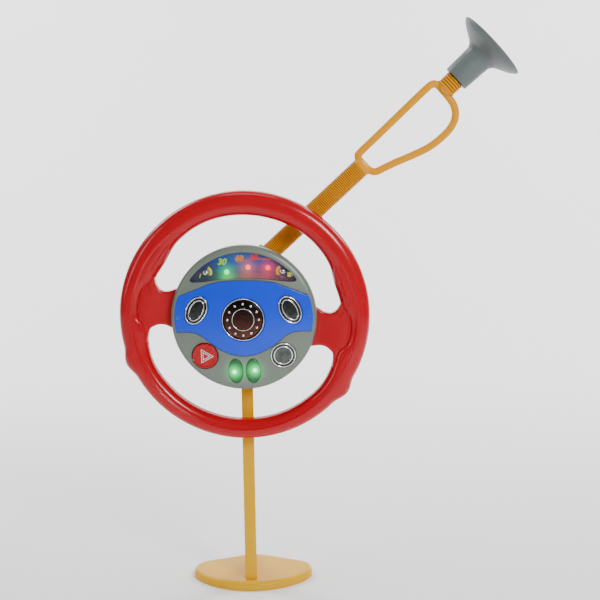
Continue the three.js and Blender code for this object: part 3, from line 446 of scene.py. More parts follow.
def ring_half(side):
    """The bearing ring: a flat ring with, on the back, counterbores for the screws."""
    holes = [circle_loop(RING_BORE, count=160)]
    if side > 0:
        holes += [circle_loop(3.3, r * math.sin(math.radians(d)), -r * math.cos(math.radians(d)), 24)
                  for r, d in screw_places]
    wall = (5 - PARTING) if side < 0 else 2.4
    flat = lambda x, z: np.full_like(x, -5.0)
    face = lambda x, depth, z: wheel_plane(x, -side * depth, z)
    return pierced_sheet(circle_loop(RING_RADIUS - 0.6, count=200), holes, flat, wall,
                         quarter_edge(0.6, wall), hole_edge=0.4, spacing=4.0, turn=face)


for side, half in ((-1, "front"), (1, "rear")):
    shell = skin(f"wheel_{half}_half", rim_half(side), spoke_half(side, -1), spoke_half(side, 1),
                 *ring_half(side), crease=50)
    finish_piece(shell, wheel_red, "wheel", [f"wheel_{half}_shell"])

# The thumb pads: a leaf on each grip, part of the front half's moulding.
PAD_START, PAD_SPAN, PAD_OUTER, PAD_LIFT = 108.6, 19.2, 103.6, 1.2
for hand, label in ((-1, "left"), (1, "right")):
    along = np.linspace(0, 1, 60)[:, None]
    over = np.linspace(0, 1, 24)[None, :]
    degrees = PAD_START + PAD_SPAN * along
    bulge = np.sin(np.pi * along ** 1.15) ** 0.8
    outer_side = PAD_OUTER - 0.9 * np.sin(np.pi * along)
    inner_side = outer_side - 5.6 * bulge - 0.02
    radius = outer_side + over * (inner_side - outer_side)
    edge = np.minimum(over, 1 - over) * (outer_side - inner_side)
    lift = PAD_LIFT * np.clip(np.minimum(edge / 0.8, along * 20), 0, 1) ** 0.5
    lift = np.minimum(lift, PAD_LIFT * np.clip((1 - along) * 20, 0, 1) ** 0.5)
    stand = rim_face(degrees, radius)
    top = on_wheel(hand * np.radians(degrees), radius, -(stand + lift))
    foot = on_wheel(hand * np.radians(degrees), radius, -(stand - 0.6))
    points = np.concatenate([top, foot[:, ::-1]], axis=1)
    pad = skin(f"{label}_thumb_pad", (points, capped_faces(*points.shape[:2])))
    finish_piece(pad, wheel_red, "wheel")

# A raised line on the front half marks where each spoke's floor meets the rim.
for hand, label in ((-1, "left"), (1, "right")):
    hooks = np.array([(94.0, 96.2), (97.6, 98.6), (101.4, 102.0), (103.4, 101.6), (104.3, 97.5),
                      (104.8, 91), (105.0, 84), (104.9, 78), (104.0, 74.6), (101.6, 74.0), (99.4, 74.4)])
    fine = np.linspace(0, len(hooks) - 1, 141)
    radius = eased(fine, np.arange(len(hooks)), hooks[:, 0])
    degrees = eased(fine, np.arange(len(hooks)), hooks[:, 1])
    stand = np.maximum(spoke_face(radius), rim_face(degrees, radius))
    path = on_wheel(hand * np.radians(degrees), radius, -stand - 0.1)
    along = np.gradient(path, axis=0)
    along /= np.linalg.norm(along, axis=1, keepdims=True)
    outward = np.cross(along, [0, -1, 0])
    outward /= np.linalg.norm(outward, axis=1, keepdims=True)
    over = np.cross(outward, along)
    turn = np.linspace(0, 2 * np.pi, 13)[:-1]
    thick = 0.00055 * np.clip(np.sin(np.pi * np.linspace(0, 1, 141)) * 6, 0.15, 1)
    tube = (path[:, None] + thick[:, None, None] * (outward[:, None] * np.cos(turn)[None, :, None]
                                                  + over[:, None] * np.sin(turn)[None, :, None]))
    line = skin(f"{label}_spoke_line", (tube, capped_faces(*tube.shape[:2])), crease=80)
    finish_piece(line, wheel_red, "wheel")

# ---- Console front ----
# A satin grey-green dome, moulded in one with its skirt. It has a crescent window
# for the dashboard, holes for five push buttons and two for the indicator lenses.

DOME_HEIGHT, DOME_CURVE, HUB_RADIUS, SHELL = 23.0, 308.0, 72.3, 2.2
LAMP_GREEN, LAMP_ORANGE, LAMP_RED = (0.02, 1.0, 0.16), (1.0, 0.14, 0.05), (1.0, 0.015, 0.05)
INDICATOR_HALF_HEIGHT, INDICATOR_HALF_WIDTH = 13, 7.5
indicator_places = [(-8.6, -52.5), (8.6, -52.5)]
window_low = [(-48.4, 36), (-38, 37), (-20, 39.2), (0, 39.8), (20, 39.2), (38, 37), (48.4, 36)]
lamp_places = {"green_lamp": (-16, 45.9, LAMP_GREEN), "orange_lamp": (5.1, 50.4, LAMP_ORANGE),
               "red_lamp": (24.6, 49.8, LAMP_RED)}


def dome(x, z):
    """The dome's depth: a shallow paraboloid whose middle stands furthest forward."""
    return -DOME_HEIGHT + (x * x + z * z) / (2 * DOME_CURVE)


def oval_loop(half_length, half_width, lean, x, z, count=96):
    """An ellipse whose long axis leans from upright by an angle in degrees."""
    turn = np.linspace(0, 2 * np.pi, count + 1)[:-1]
    over, up, tilt = half_width * np.cos(turn), half_length * np.sin(turn), math.radians(lean)
    return np.stack([x + over * np.cos(tilt) + up * np.sin(tilt),
                     z - over * np.sin(tilt) + up * np.cos(tilt)], axis=-1)


button_loops = {
    "horn": lambda grow: circle_loop(21.2 + grow),
    "left_oval": lambda grow: oval_loop(15 + grow, 10.5 + grow, 30, -46.3, 9),
    "right_oval": lambda grow: oval_loop(15 + grow, 10.5 + grow, -30, 46.3, 9),
    "round": lambda grow: circle_loop(12.8 + grow, 38.8, -36.9),
    "hazard": lambda grow: circle_loop(13.2 + grow, -38.8, -36.9),
}


def curve_through(points, count=12):
    """A smooth open curve through points, several steps to each span."""
    points = np.asarray(points, float)
    at = np.arange(len(points))
    fine = np.linspace(0, len(points) - 1, (len(points) - 1) * count + 1)
    return np.stack([eased(fine, at, points[:, k]) for k in (0, 1)], axis=-1)


def arc(radius, start, end, count=60):
    """Points on a circle about the hub between two angles in degrees."""
    turn = np.radians(np.linspace(start, end, count))
    return np.stack([radius * np.cos(turn), radius * np.sin(turn)], axis=-1)


def window_loop(grow):
    """The crescent dashboard window, anticlockwise, grown by a distance."""
    right_end = [(48.4, 36), (51.4, 36.6), (52.6, 38.6), (50.8, 41.4)]
    top = arc(65.5, 39.2, 140.8)
    left_end = [(-x, z) for x, z in reversed(right_end)]
    loop = np.concatenate([curve_through(window_low), curve_through(right_end)[1:-1], top,
                           curve_through(left_end)[1:-1]])
    loop = even_loop(loop, 1.0)
    return loop + loop_normals(loop) * grow


skirt = [(1.6, 0.45), (2.9, 1.3), (3.9, 2.4), (4.5, 4.0), (4.6, 6.0), (4.6, 9.97), (2.4, 9.97)]
console_grey = moulded("satin_grey_green_plastic", (0.15, 0.185, 0.15), 0.34, wander=0.1, grain=0.1,
                       grain_size=0.35, Specular_IOR_Level=0.55)


def radial_glow(tree, places, reach, colour, strength):
    """Light that fades with the square of the distance from points on the dome."""
    place = tree.nodes.new("ShaderNodeTexCoord").outputs["Object"]
    total = None
    for x, z in places:
        centre = at_hub(x, dome(x, z), z)
        apart = add_node(tree, "ShaderNodeVectorMath", {"operation": "DISTANCE"})
        tree.links.new(place, apart.inputs[0])
        apart.inputs[1].default_value = tuple(centre)
        fade = add_node(tree, "ShaderNodeMapRange", {"interpolation_type": "SMOOTHSTEP"},
                        Value=apart.outputs["Value"], From_Min=0, From_Max=reach / 1000,
                        To_Min=1, To_Max=0)
        curve = add_node(tree, "ShaderNodeMath", {"operation": "POWER"})
        tree.links.new(fade.outputs[0], curve.inputs[0])
        curve.inputs[1].default_value = 2.0
        lit = mix_colours(tree, curve.outputs[0], (0, 0, 0, 1), (*[c * strength for c in colour], 1))
        total = lit if total is None else mix_colours(tree, 1.0, total, lit, "ADD")
    return total


def shine(material, light, strength=1.0):
    """Makes a material give off light, of one colour or of a socket's colour."""
    shader = material.node_tree.nodes["Principled BSDF"]
    if isinstance(light, bpy.types.NodeSocket):
        material.node_tree.links.new(light, shader.inputs["Emission Color"])
    else:
        shader.inputs["Emission Color"].default_value = (*light, 1)
    shader.inputs["Emission Strength"].default_value = strength


# Painted green glow round the indicator lenses: emission on the dome stands for the little of their light
# that the thin wall there lets through.
shine(console_grey, radial_glow(console_grey.node_tree, indicator_places, 21, LAMP_GREEN, 0.5))
# The blue faceplate lies in a shallow recess with a thin gap all round it.
plate_buttons = ("horn", "left_oval", "right_oval")
crown = [(0, 38.3), (27.6, 36.2), (46, 29.6), (64.7, 22.2)]
bowl = [(67.1, -13.4), (57, -12.8), (49, -13.4), (42, -16.4), (33.6, -22.9), (23.8, -29.8),
        (13, -34.6), (0, -36.8)]
upper_edge = curve_through([(-x, z) for x, z in reversed(crown)] + crown[1:])
lower_edge = curve_through(bowl + [(-x, z) for x, z in reversed(bowl[:-1])])
plate_loop = np.concatenate([arc(68.4, -11.3, 18.9)[1:-1], upper_edge[::-1],
                             arc(68.4, 161.1, 191.3)[1:-1], lower_edge[::-1]])
plate_loop = even_loop(plate_loop, 0.8)
dome_holes = [plate_loop + loop_normals(plate_loop) * 0.5]
dome_holes += [button_loops[name](0.3) for name in ("round", "hazard")]
dome_holes += [oval_loop(INDICATOR_HALF_HEIGHT, INDICATOR_HALF_WIDTH, 0, x, z)
               for x, z in indicator_places]
dome_holes.append(window_loop(0))
dome_sheet = pierced_sheet(circle_loop(HUB_RADIUS - 4.6, count=300), dome_holes, dome, SHELL, skirt,
                           hole_edge=0.32)
recess_floor = pierced_sheet(
    plate_loop + loop_normals(plate_loop) * 1.1, [button_loops[name](0.3) for name in plate_buttons],
    lambda x, z: dome(x, z) + 1.2, 0.8, quarter_edge(0.1, 0.8))
housing = skin("console_dome", *dome_sheet, *recess_floor, crease=40)
finish_piece(housing, console_grey, "console", ["front_housing"])

# ---- Faceplate ----
# A glossy blue plate that clips over the dome, with a bowl-shaped lower edge. A
# small blind dimple at each end marks a screw below it.

PLATE_PROUD = 0.9
plate_dimples = [(-64.6, 0.0), (64.6, 0.0)]


def plate_front(x, z):
    """The dome's surface brought forward, with a round dimple at each end."""
    depth = dome(x, z) - PLATE_PROUD
    for cx, cz in plate_dimples:
        depth = depth + 0.9 * np.exp(-(((x - cx) ** 2 + (z - cz) ** 2) / 1.3) ** 2)
    return depth


dimple_points = np.concatenate([circle_loop(r, x, z, 18) for x, z in plate_dimples
                                for r in (0.35, 0.7, 1.0, 1.3, 1.7)])
plate_rounding = 0.7
plate_outline = plate_loop - loop_normals(plate_loop) * plate_rounding
faceplate_blue = moulded("glossy_blue_plastic", (0.0, 0.05, 0.72), 0.2, wander=0.08, grain=0.02,
                         grain_size=1.0, Coat_Weight=0.15, Coat_Roughness=0.08, Specular_IOR_Level=0.4)
faceplate = skin("blue_plate", *pierced_sheet(
    plate_outline, [button_loops[name](0.3) for name in plate_buttons],
    plate_front, 0.8, quarter_edge(plate_rounding, 0.8), extra=dimple_points), crease=40)
finish_piece(faceplate, faceplate_blue, "console", ["blue_faceplate"])

# ---- Button bezels ----
# Bright plated rings that press into the dome round the horn, the two ovals and the
# round mirror button. Each follows the dome's slope.

bright_chrome = moulded("bright_plated_plastic", (0.86, 0.86, 0.88), 0.09, wander=0.04, grain=0.015,
                        grain_size=2.0, Metallic=1.0)


def dome_moulding(loop_at, section):
    """A band that follows the dome: section gives (growth of the loop, height above the
    dome) all the way round, and is closed."""
    section = np.asarray(section, float)
    loops = np.stack([loop_at(grow) for grow in section[:, 0]])
    depth = dome(loops[..., 0], loops[..., 1]) - section[:, 1][:, None]
    points = at_hub(loops[..., 0], depth, loops[..., 1])
    return points, grid_faces(*depth.shape, wrap_rows=True, wrap_columns=True)


def round_bead(outer, inner, height, foot):
    """A bead's section: a flat-topped arch between two growths, on straight sides."""
    turn = np.linspace(0, np.pi, 17)
    middle, half = (outer + inner) / 2, (outer - inner) / 2
    arch = np.abs(np.sin(turn)) ** 0.55
    top = np.stack([middle + half * np.cos(turn), foot + (height - foot) * arch], axis=-1)
    return np.concatenate([[[outer, foot - 0.1]], top[1:-1], [[inner, foot - 0.1]]])


bead_width = {"horn": 1.5, "left_oval": 1.9, "right_oval": 1.9, "round": 1.7}
for name, width in bead_width.items():
    proud = PLATE_PROUD if name != "round" else 0.0
    bezel = skin(f"{name}_ring", dome_moulding(
        button_loops[name], round_bead(0, -width, 1.5 + proud, -1.0)), crease=60)
    finish_piece(bezel, bright_chrome, "console", [f"{name}_bezel"])

# ---- Ovals and round mirror button ----
# Caps with a bright raised ring round a mirror-plated face whose dark colour and blotches are painted
# reflection.
# Each slides straight in behind its bezel.

# Painted reflection: the face's dark colour and large blotches stand for a dark room mirrored in the
# plating.
mirror_painted_dark_reflection = moulded("dark_mirror_plating", (0.17, 0.19, 0.18), 0.16, wander=0.93, patch=5,
                      grain=0.1, grain_size=4.0, Metallic=1.0)


def cap_patch(loop_at, rings):
    """A closed cap that follows the dome: rings of (growth, height) from the middle of
    its face outwards and round to the middle of its back, with both middles closed."""
    rings = np.asarray(rings, float)
    loops = np.stack([loop_at(grow) for grow in rings[:, 0]])
    depth = dome(loops[..., 0], loops[..., 1]) - rings[:, 1][:, None]
    centre = loops[0].mean(axis=0)
    count, columns = depth.shape
    points = at_hub(loops[..., 0], depth, loops[..., 1]).reshape(-1, 3)
    poles = [at_hub(centre[0], dome(*centre) - height, centre[1]) for height in rings[[0, -1], 1]]
    points = np.concatenate([points, poles])
    around = np.arange(columns)
    ahead = (around + 1) % columns
    fan = np.stack([around, ahead, np.full(columns, count * columns)], axis=-1).tolist()
    last = (count - 1) * columns
    fan += np.stack([last + ahead, last + around, np.full(columns, count * columns + 1)],
                    axis=-1).tolist()
    return points, grid_faces(count, columns, wrap_columns=True).tolist() + fan


for name, reach, proud in (("left_oval", 10.5, 0.9), ("right_oval", 10.5, 0.9), ("round", 12.8, 0.0)):
    loop_at = button_loops[name]
    edge = -bead_width[name] - 0.5
    ring_in, ring_out = edge - 2.5, edge - 1.0
    deep = np.linspace(-reach * 0.9, ring_in - 0.2, 8)
    crowned = [(grow, proud + 0.75 + 0.35 * (1 - ((grow + reach) / reach) ** 2)) for grow in deep]
    body = crowned + [(ring_in, proud + 0.5), (ring_out, proud + 0.4), (edge - 0.2, proud + 0.3),
                      (edge, proud - 0.1), (edge, -2.4), (-reach * 0.9, -2.4)]
    cap = skin(f"{name}_cap", cap_patch(loop_at, body), crease=40)
    finish_piece(cap, mirror_painted_dark_reflection, name, [f"{name}_button"])
    trim = skin(f"{name}_cap_ring", dome_moulding(
        loop_at, round_bead(ring_out, ring_in, proud + 1.1, proud - 0.4)), crease=60)
    finish_piece(trim, bright_chrome, name)

# ---- Horn button ----
# Smoked brown plating, darkened to near black above by a painted reflection, with a bright ring and twelve
# small bright studs. The plain rosette in the middle is only a pattern.

smoked = moulded("smoked_brown_plating_with_painted_reflection", (0.16, 0.055, 0.04), 0.2, wander=0.7, patch=6, grain=0.08,
                 grain_size=3.0, Metallic=0.85)
smoked_tree = smoked.node_tree
smoked_place = smoked_tree.nodes.new("ShaderNodeTexCoord").outputs["Object"]
smoked_split = add_node(smoked_tree, "ShaderNodeSeparateXYZ", Vector=smoked_place)
# Painted reflection: the plating's colour fades to near black towards the top.
painted_reflection_fade = add_node(smoked_tree, "ShaderNodeMapRange", Value=smoked_split.outputs["Z"],
                   From_Min=hub[2] - 0.012, From_Max=hub[2] + 0.014)
smoked_shader = smoked_tree.nodes["Principled BSDF"]
smoked_base = smoked_shader.inputs["Base Color"].links[0].from_socket
smoked_tree.links.new(mix_colours(smoked_tree, painted_reflection_fade.outputs[0], smoked_base, (0.012, 0.009, 0.009, 1)),
                      smoked_shader.inputs["Base Color"])

horn_rings = [(grow, 1.55) for grow in (-20.6, -18, -15, -12, -8, -5)]
horn_rings += [(-2.9, 1.5), (-2.4, 1.2), (-2.1, 0.7), (-2.1, -2.4), (-20.6, -2.4)]
horn_cap = skin("horn_cap", cap_patch(button_loops["horn"], horn_rings), crease=40)
finish_piece(horn_cap, smoked, "horn", ["horn_button"])
horn_trim = skin("horn_cap_ring", dome_moulding(
    lambda grow: circle_loop(11.3 + grow), round_bead(0, -1.0, 2.1, 0.8)), crease=60)
finish_piece(horn_trim, bright_chrome, "horn", ["horn_inner_ring"])

stud_rows = np.linspace(0, np.pi / 2, 7)[:, None]
stud_turn = np.linspace(0, 2 * np.pi, 17)[:-1][None, :]
studs = []
for hour in range(12):
    angle = 2 * np.pi * hour / 12
    cx, cz = 15.6 * math.sin(angle), 15.6 * math.cos(angle)
    x = cx + 1.3 * np.sin(stud_rows) * np.cos(stud_turn)
    z = cz + 1.3 * np.sin(stud_rows) * np.sin(stud_turn)
    height = 1.5 + 0.9 * np.cos(stud_rows) + 0 * stud_turn
    height[-1] = 0.9
    points = at_hub(x, dome(x, z) - height, z)
    base = list(range(6 * 16, 7 * 16))
    studs.append((points, grid_faces(7, 16, wrap_columns=True).tolist() + [base]))
horn_studs = skin("horn_studs", *studs, crease=60)
finish_piece(horn_studs, bright_chrome, "horn")

petal_turn = np.linspace(0, 2 * np.pi, 121)[:-1]


def petal_loop(grow):
    """A rosette of six shallow petals."""
    radius = 5.4 + 1.1 * np.cos(6 * petal_turn) + grow
    return np.stack([radius * np.cos(petal_turn), radius * np.sin(petal_turn)], axis=-1)


rosette = skin("horn_rosette", dome_moulding(petal_loop, round_bead(0, -1.1, 1.9, 1.0)), crease=60)
finish_piece(rosette, smoked, "horn")

# ---- Hazard button ----
# A red dished cap with a white double triangle inlaid in it.

hazard_red = moulded("red_button_plastic", (0.42, 0.0, 0.003), 0.26, wander=0.08, grain=0.04,
                     grain_size=0.8, Specular_IOR_Level=0.4)
HAZARD_X, HAZARD_Z = -38.8, -36.9
hazard_rings = [(grow, 2.0) for grow in (-12.9, -10, -7, -4, -2.6)]
hazard_rings += [(-2.0, 2.25), (-1.4, 2.35), (-0.9, 2.1), (-0.55, 1.6), (-0.4, 1.0), (-0.4, -2.4),
                 (-12.9, -2.4)]
hazard_cap = skin("hazard_cap", cap_patch(button_loops["hazard"], hazard_rings), crease=40)
finish_piece(hazard_cap, hazard_red, "hazard", ["hazard_button"])


def triangle_loop(reach, count=30):
    """A triangle pointing right, its corners at a reach from its middle."""
    corner = np.radians([0, 120, 240, 360])
    corners = np.stack([HAZARD_X + 0.4 + reach * np.cos(corner), HAZARD_Z + reach * np.sin(corner)], axis=-1)
    share = np.linspace(0, 1, count + 1)[:-1][:, None]
    return np.concatenate([corners[i] + share * (corners[i + 1] - corners[i]) for i in range(3)])


inlay = []
for reach in (8.4, 5.0):
    section = np.array([(reach, 1.8), (reach, 2.06), (reach - 1.1, 2.06), (reach - 1.1, 1.8)])
    loops = np.stack([triangle_loop(r) for r in section[:, 0]])
    depth = dome(loops[..., 0], loops[..., 1]) - section[:, 1][:, None]
    inlay.append((at_hub(loops[..., 0], depth, loops[..., 1]),
                  grid_faces(*depth.shape, wrap_rows=True, wrap_columns=True)))
white_inlay = moulded("white_inlaid_plastic", (0.88, 0.86, 0.86), 0.4, wander=0.04)
hazard_mark = skin("hazard_double_triangle", *inlay, crease=30)
finish_piece(hazard_mark, white_inlay, "hazard", ["hazard_triangle"])

# ---- Indicators ----
# Two upright green lenses near the bottom of the dome, with a green lamp behind
# each. Cross ribs show faintly at their ends.

lens_green = moulded("lit_green_lens", (0.03, 0.13, 0.05), 0.25, wander=0.1, Specular_IOR_Level=0.3)
lens_tree = lens_green.node_tree
glow_places = [(-10.0, -53.2), (10.4, -51.6)]
lens_glow = radial_glow(lens_tree, glow_places, 14, LAMP_GREEN, 1.6)
lens_core = radial_glow(lens_tree, glow_places, 4.5, (0.75, 1.0, 0.8), 3.0)
shine(lens_green, mix_colours(lens_tree, 1.0, lens_glow, lens_core, "ADD"))
for (x, z), side in zip(indicator_places, ("left", "right")):
    rings = [(-7.3, 0.5), (-5, 0.48), (-3, 0.42), (-1.6, 0.3), (-0.9, 0.05), (-0.4, -0.5), (-0.35, -2),
             (-7.3, -2)]
    lens = skin(f"{side}_indicator_window", cap_patch(
        lambda grow: oval_loop(INDICATOR_HALF_HEIGHT + grow, INDICATOR_HALF_WIDTH + grow, 0, x, z),
        rings), crease=40)
    finish_piece(lens, lens_green, "console", [f"{side}_indicator_lens"])
    bars = []
    for up in (-1, 1):
        for step in (9.6, 7.4):
            half = 3.0 if step > 9 else 4.6
            bow = np.linspace(-1, 1, 21)[:, None]
            turn = np.linspace(0, 2 * np.pi, 13)[:-1][None, :]
            cx = x + half * bow
            cz = z + up * (step + 1.2 * (1 - bow * bow)) + 0.45 * np.sin(turn)
            depth = dome(cx, cz) - 0.35 - 0.4 * np.cos(turn)
            bars.append((at_hub(cx, depth, cz), capped_faces(*depth.shape)))
    rib = skin(f"{side}_indicator_ribs", *bars, crease=60)
    finish_piece(rib, lens_green, "console")

# ---- Dashboard ----
# A printed tray behind the crescent window: a blue and violet scene with numbers and
# dials, a sloping shelf below it, two silver gauge domes and three lit lamps.

DASH_DEPTH = -12.4
dash_print = moulded("dashboard_print", (0.02, 0.05, 0.35), 0.35, wander=0.1)
dash_tree = dash_print.node_tree
dash_shader = dash_tree.nodes["Principled BSDF"]
dash_place = dash_tree.nodes.new("ShaderNodeTexCoord").outputs["Object"]
dash_split = add_node(dash_tree, "ShaderNodeSeparateXYZ", Vector=dash_place)


def ramp(tree, value, stops):
    """A colour ramp of (value in metres, colour) stops."""
    low, high = stops[0][0], stops[-1][0]
    share = add_node(tree, "ShaderNodeMapRange", Value=value, From_Min=low, From_Max=high)
    node = add_node(tree, "ShaderNodeValToRGB", Fac=share.outputs[0])
    elements = node.color_ramp.elements
    while len(elements) < len(stops):
        elements.new(0.5)
    for element, (at, colour) in zip(elements, stops):
        element.position = (at - low) / (high - low)
        element.color = (*colour, 1)
    return node.outputs["Color"]


sideways = ramp(dash_tree, dash_split.outputs["X"], [
    (-0.055, (0.01, 0.008, 0.09)), (-0.038, (0.012, 0.015, 0.16)), (-0.024, (0.01, 0.07, 0.36)),
    (-0.006, (0.02, 0.16, 0.52)), (0.012, (0.05, 0.09, 0.42)), (0.030, (0.09, 0.035, 0.22)),
    (0.042, (0.03, 0.012, 0.12)), (0.055, (0.01, 0.006, 0.07))])
downward = add_node(dash_tree, "ShaderNodeMapRange", Value=dash_split.outputs["Z"],
                    From_Min=hub[2] + 0.041, From_Max=hub[2] + 0.055, To_Min=0.85, To_Max=0.0)
low_colour = ramp(dash_tree, dash_split.outputs["X"], [
    (-0.055, (0.02, 0.018, 0.06)), (-0.034, (0.05, 0.08, 0.09)), (-0.016, (0.07, 0.34, 0.10)),
    (0.002, (0.42, 0.2, 0.09)), (0.02, (0.5, 0.13, 0.12)), (0.036, (0.22, 0.05, 0.07)),
    (0.055, (0.03, 0.012, 0.05))])
dash_tree.links.new(mix_colours(dash_tree, downward.outputs[0], sideways, low_colour),
                    dash_shader.inputs["Base Color"])


def lamp_glow(tree, strength, reach, core):
    """The three lamps' light on the print: wide coloured pools and small white cores."""
    total = None
    for x, z, colour in lamp_places.values():
        wide = radial_glow(tree, [(x, z)], reach, colour, strength)
        hot = radial_glow(tree, [(x, z)], 6.5, tuple(0.5 + 0.5 * c for c in colour), core)
        both = mix_colours(tree, 1.0, wide, hot, "ADD")
        total = both if total is None else mix_colours(tree, 1.0, total, both, "ADD")
    return total


shine(dash_print, lamp_glow(dash_tree, 1.5, 17, 1.2))

print_sheet = skin("dash_print_sheet", *pierced_sheet(
    window_loop(1.8), [], lambda x, z: np.full_like(x, DASH_DEPTH), 1.0, quarter_edge(0.2, 1.0),
    spacing=3.0), crease=40)
finish_piece(print_sheet, dash_print, "console", ["dash_tray"])

# The tray's side wall, in near-black blue, and its sloping shelf, in the same print as the tray.
wall_loop = window_loop(0.25)
wall_steps = [(0.0, 1.0), (0.0, None), (0.9, None), (0.9, 1.0)]
wall_rings = np.stack([wall_loop + loop_normals(wall_loop) * grow for grow, _ in wall_steps])
wall_depth = np.stack([np.full(len(wall_loop), DASH_DEPTH + 0.2) if tip else
                       dome(wall_loop[:, 0], wall_loop[:, 1]) + SHELL + 0.2 for _, tip in wall_steps])
tray_wall = moulded("dark_tray_wall", (0.012, 0.014, 0.05), 0.4, wander=0.2)
wall = skin("dash_tray_wall", (at_hub(wall_rings[..., 0], wall_depth, wall_rings[..., 1]),
                               grid_faces(*wall_depth.shape, wrap_rows=True, wrap_columns=True)), crease=40)
finish_piece(wall, tray_wall, "console")

shelf_low = np.array(window_low)
shelf_x = np.linspace(-46, 46, 93)[:, None]
shelf_edge = eased(shelf_x, shelf_low[:, 0], shelf_low[:, 1])
shelf_share = np.linspace(0, 1, 9)[None, :]
shelf_rise = 5.2 * np.clip((47 - np.abs(shelf_x)) / 10, 0.15, 1)
shelf_z = shelf_edge + 0.35 + shelf_rise * shelf_share ** 1.1
shelf_front = dome(shelf_x, shelf_edge) + SHELL + 1.0
shelf_depth = shelf_front + (DASH_DEPTH - 0.1 - shelf_front) * shelf_share ** 0.8
shelf_top = at_hub(shelf_x + 0 * shelf_z, shelf_depth, shelf_z)
shelf_under = at_hub(shelf_x + 0 * shelf_z, shelf_depth + 0.6, shelf_z - 0.7)
shelf_points = np.concatenate([shelf_top, shelf_under[:, ::-1]], axis=1)
shelf = skin("dash_shelf", (shelf_points, capped_faces(*shelf_points.shape[:2])), crease=60)
finish_piece(shelf, dash_print, "console")


def flat_marks(name, loops, colour, glow=0.25):
    """Printed marks: each outline is a thin raised film in front of the tray."""
    film = moulded(f"{name}_ink", colour, 0.4, wander=0.05)
    # Painted glow: the ink gives off a little light of its own colour.
    shine(film, colour, glow)
    patches = []
    for loop in loops:
        loop = np.asarray(loop, float)
        rings = np.stack([loop, loop])
        depth = np.array([DASH_DEPTH + 0.05, DASH_DEPTH - 0.25])[:, None] + 0 * rings[..., 0]
        count = len(loop)
        faces = grid_faces(2, count, wrap_columns=True).tolist()
        faces += [list(range(count)), list(range(2 * count - 1, count - 1, -1))]
        patches.append((at_hub(rings[..., 0], depth, rings[..., 1]), faces))
    marks = skin(name, *patches, crease=30)
    return finish_piece(marks, film, "console")


def band_loop(x, z, radius, width, start, end, count=24):
    """An arc-shaped mark of even width."""
    turn = np.radians(np.linspace(start, end, count))
    outer = np.stack([x + radius * np.cos(turn), z + radius * np.sin(turn)], axis=-1)
    inner = np.stack([x + (radius - width) * np.cos(turn), z + (radius - width) * np.sin(turn)], axis=-1)
    return np.concatenate([outer, inner[::-1]])


flat_marks("left_dial_band", [band_loop(-36.8, 45.6, 6.6, 2.4, -62, 62)], (0.85, 0.8, 0.02))
flat_marks("left_dial_tick", [[(-43.2, 40.2), (-42.4, 40.4), (-41.2, 44.4), (-42.1, 44.6)]],
           (0.85, 0.75, 0.02))
flat_marks("right_dial_band", [band_loop(39, 46, 6.6, 2.6, 118, 242)], (0.95, 0.4, 0.03))
pump = [(43.9, 40.6), (47.6, 40.6), (47.6, 45.2), (43.9, 45.2)]
pump_hose = [(47.9, 43.4), (48.7, 42.8), (48.9, 44.6), (48.1, 45.4), (47.8, 44.9), (48.2, 44.4)]
flat_marks("fuel_mark", [pump, pump_hose], (0.85, 0.85, 0.03))
scale_x = np.linspace(-4.4, 26.6, 26)
scale_z = 56.1 + 2.6 * np.sin(np.pi * (scale_x + 4.4) / 42)
flat_marks("speed_scale", [[(x - 0.3, z - 1.1), (x + 0.2, z - 1.1), (x + 0.4, z + 0.9), (x - 0.1, z + 0.9)]
                           for x, z in zip(scale_x, scale_z)], (0.85, 0.16, 0.04))


def numeral(text, x, z, height, colour):
    """A printed number on the dial: bold slanted figures, made a mesh and laid flat in
    front of the tray."""
    font = bpy.data.curves.new(f"figures_{text}", "FONT")
    font.body = text
    font.size = height * 1.38
    font.shear = 0.25
    font.offset = 0.36
    font.extrude = 0.15
    font.resolution_u = 6
    maker = bpy.data.objects.new(f"figures_{text}", font)
    bpy.context.scene.collection.objects.link(maker)
    bpy.context.view_layer.update()
    mesh = bpy.data.meshes.new_from_object(maker)
    bpy.data.objects.remove(maker)
    flat = np.empty(len(mesh.vertices) * 3)
    mesh.vertices.foreach_get("co", flat)
    flat = flat.reshape(-1, 3)
    middle = (flat.min(axis=0) + flat.max(axis=0)) / 2
    flat -= middle
    points = at_hub(x + flat[:, 0], DASH_DEPTH - 0.2 - flat[:, 2], z + flat[:, 1])
    faces = [list(face.vertices) for face in mesh.polygons]
    bpy.data.meshes.remove(mesh)
    piece = skin(f"dial_number_{text}", (points, faces), crease=30)
    ink = moulded(f"ink_{text}", colour, 0.4, wander=0.05)
    # Painted glow: the ink gives off a little light of its own colour.
    shine(ink, colour, 0.3)
    return finish_piece(piece, ink, "console")


numeral("30", -20.2, 56.2, 6.0, (0.42, 0.85, 0.0))
numeral("60", -3.3, 59.6, 5.6, (0.95, 0.26, 0.0))
numeral("90", 11.3, 60.4, 5.2, (0.9, 0.0, 0.0))


def turned(x, z, profile, segments=48):
    """A solid turned about a line through (x, z) from front to back, its profile given as
    (radius, depth) from the middle of its front to the middle of its back."""
    profile = np.asarray(profile, float)
    turn = np.linspace(0, 2 * np.pi, segments + 1)[:-1]
    radius, depth = profile[:, 0][:, None], profile[:, 1][:, None]
    points = at_hub(x + radius * np.cos(turn), depth + 0 * turn, z + radius * np.sin(turn))
    return points, grid_faces(len(profile), segments, wrap_columns=True)


quarter = np.linspace(0, np.pi / 2, 12)
for name, x, z in (("left_gauge", -36.8, 45.6), ("right_gauge", 39.0, 46.0)):
    cap = [(3.5 * math.sin(q), DASH_DEPTH - 0.1 - 2.8 * math.cos(q)) for q in quarter]
    cap += [(3.5, DASH_DEPTH + 0.3), (0, DASH_DEPTH + 0.3)]
    gauge = skin(f"{name}_cap", turned(x, z, cap), crease=50)
    finish_piece(gauge, bright_chrome, "console", [f"{name}_dome"])


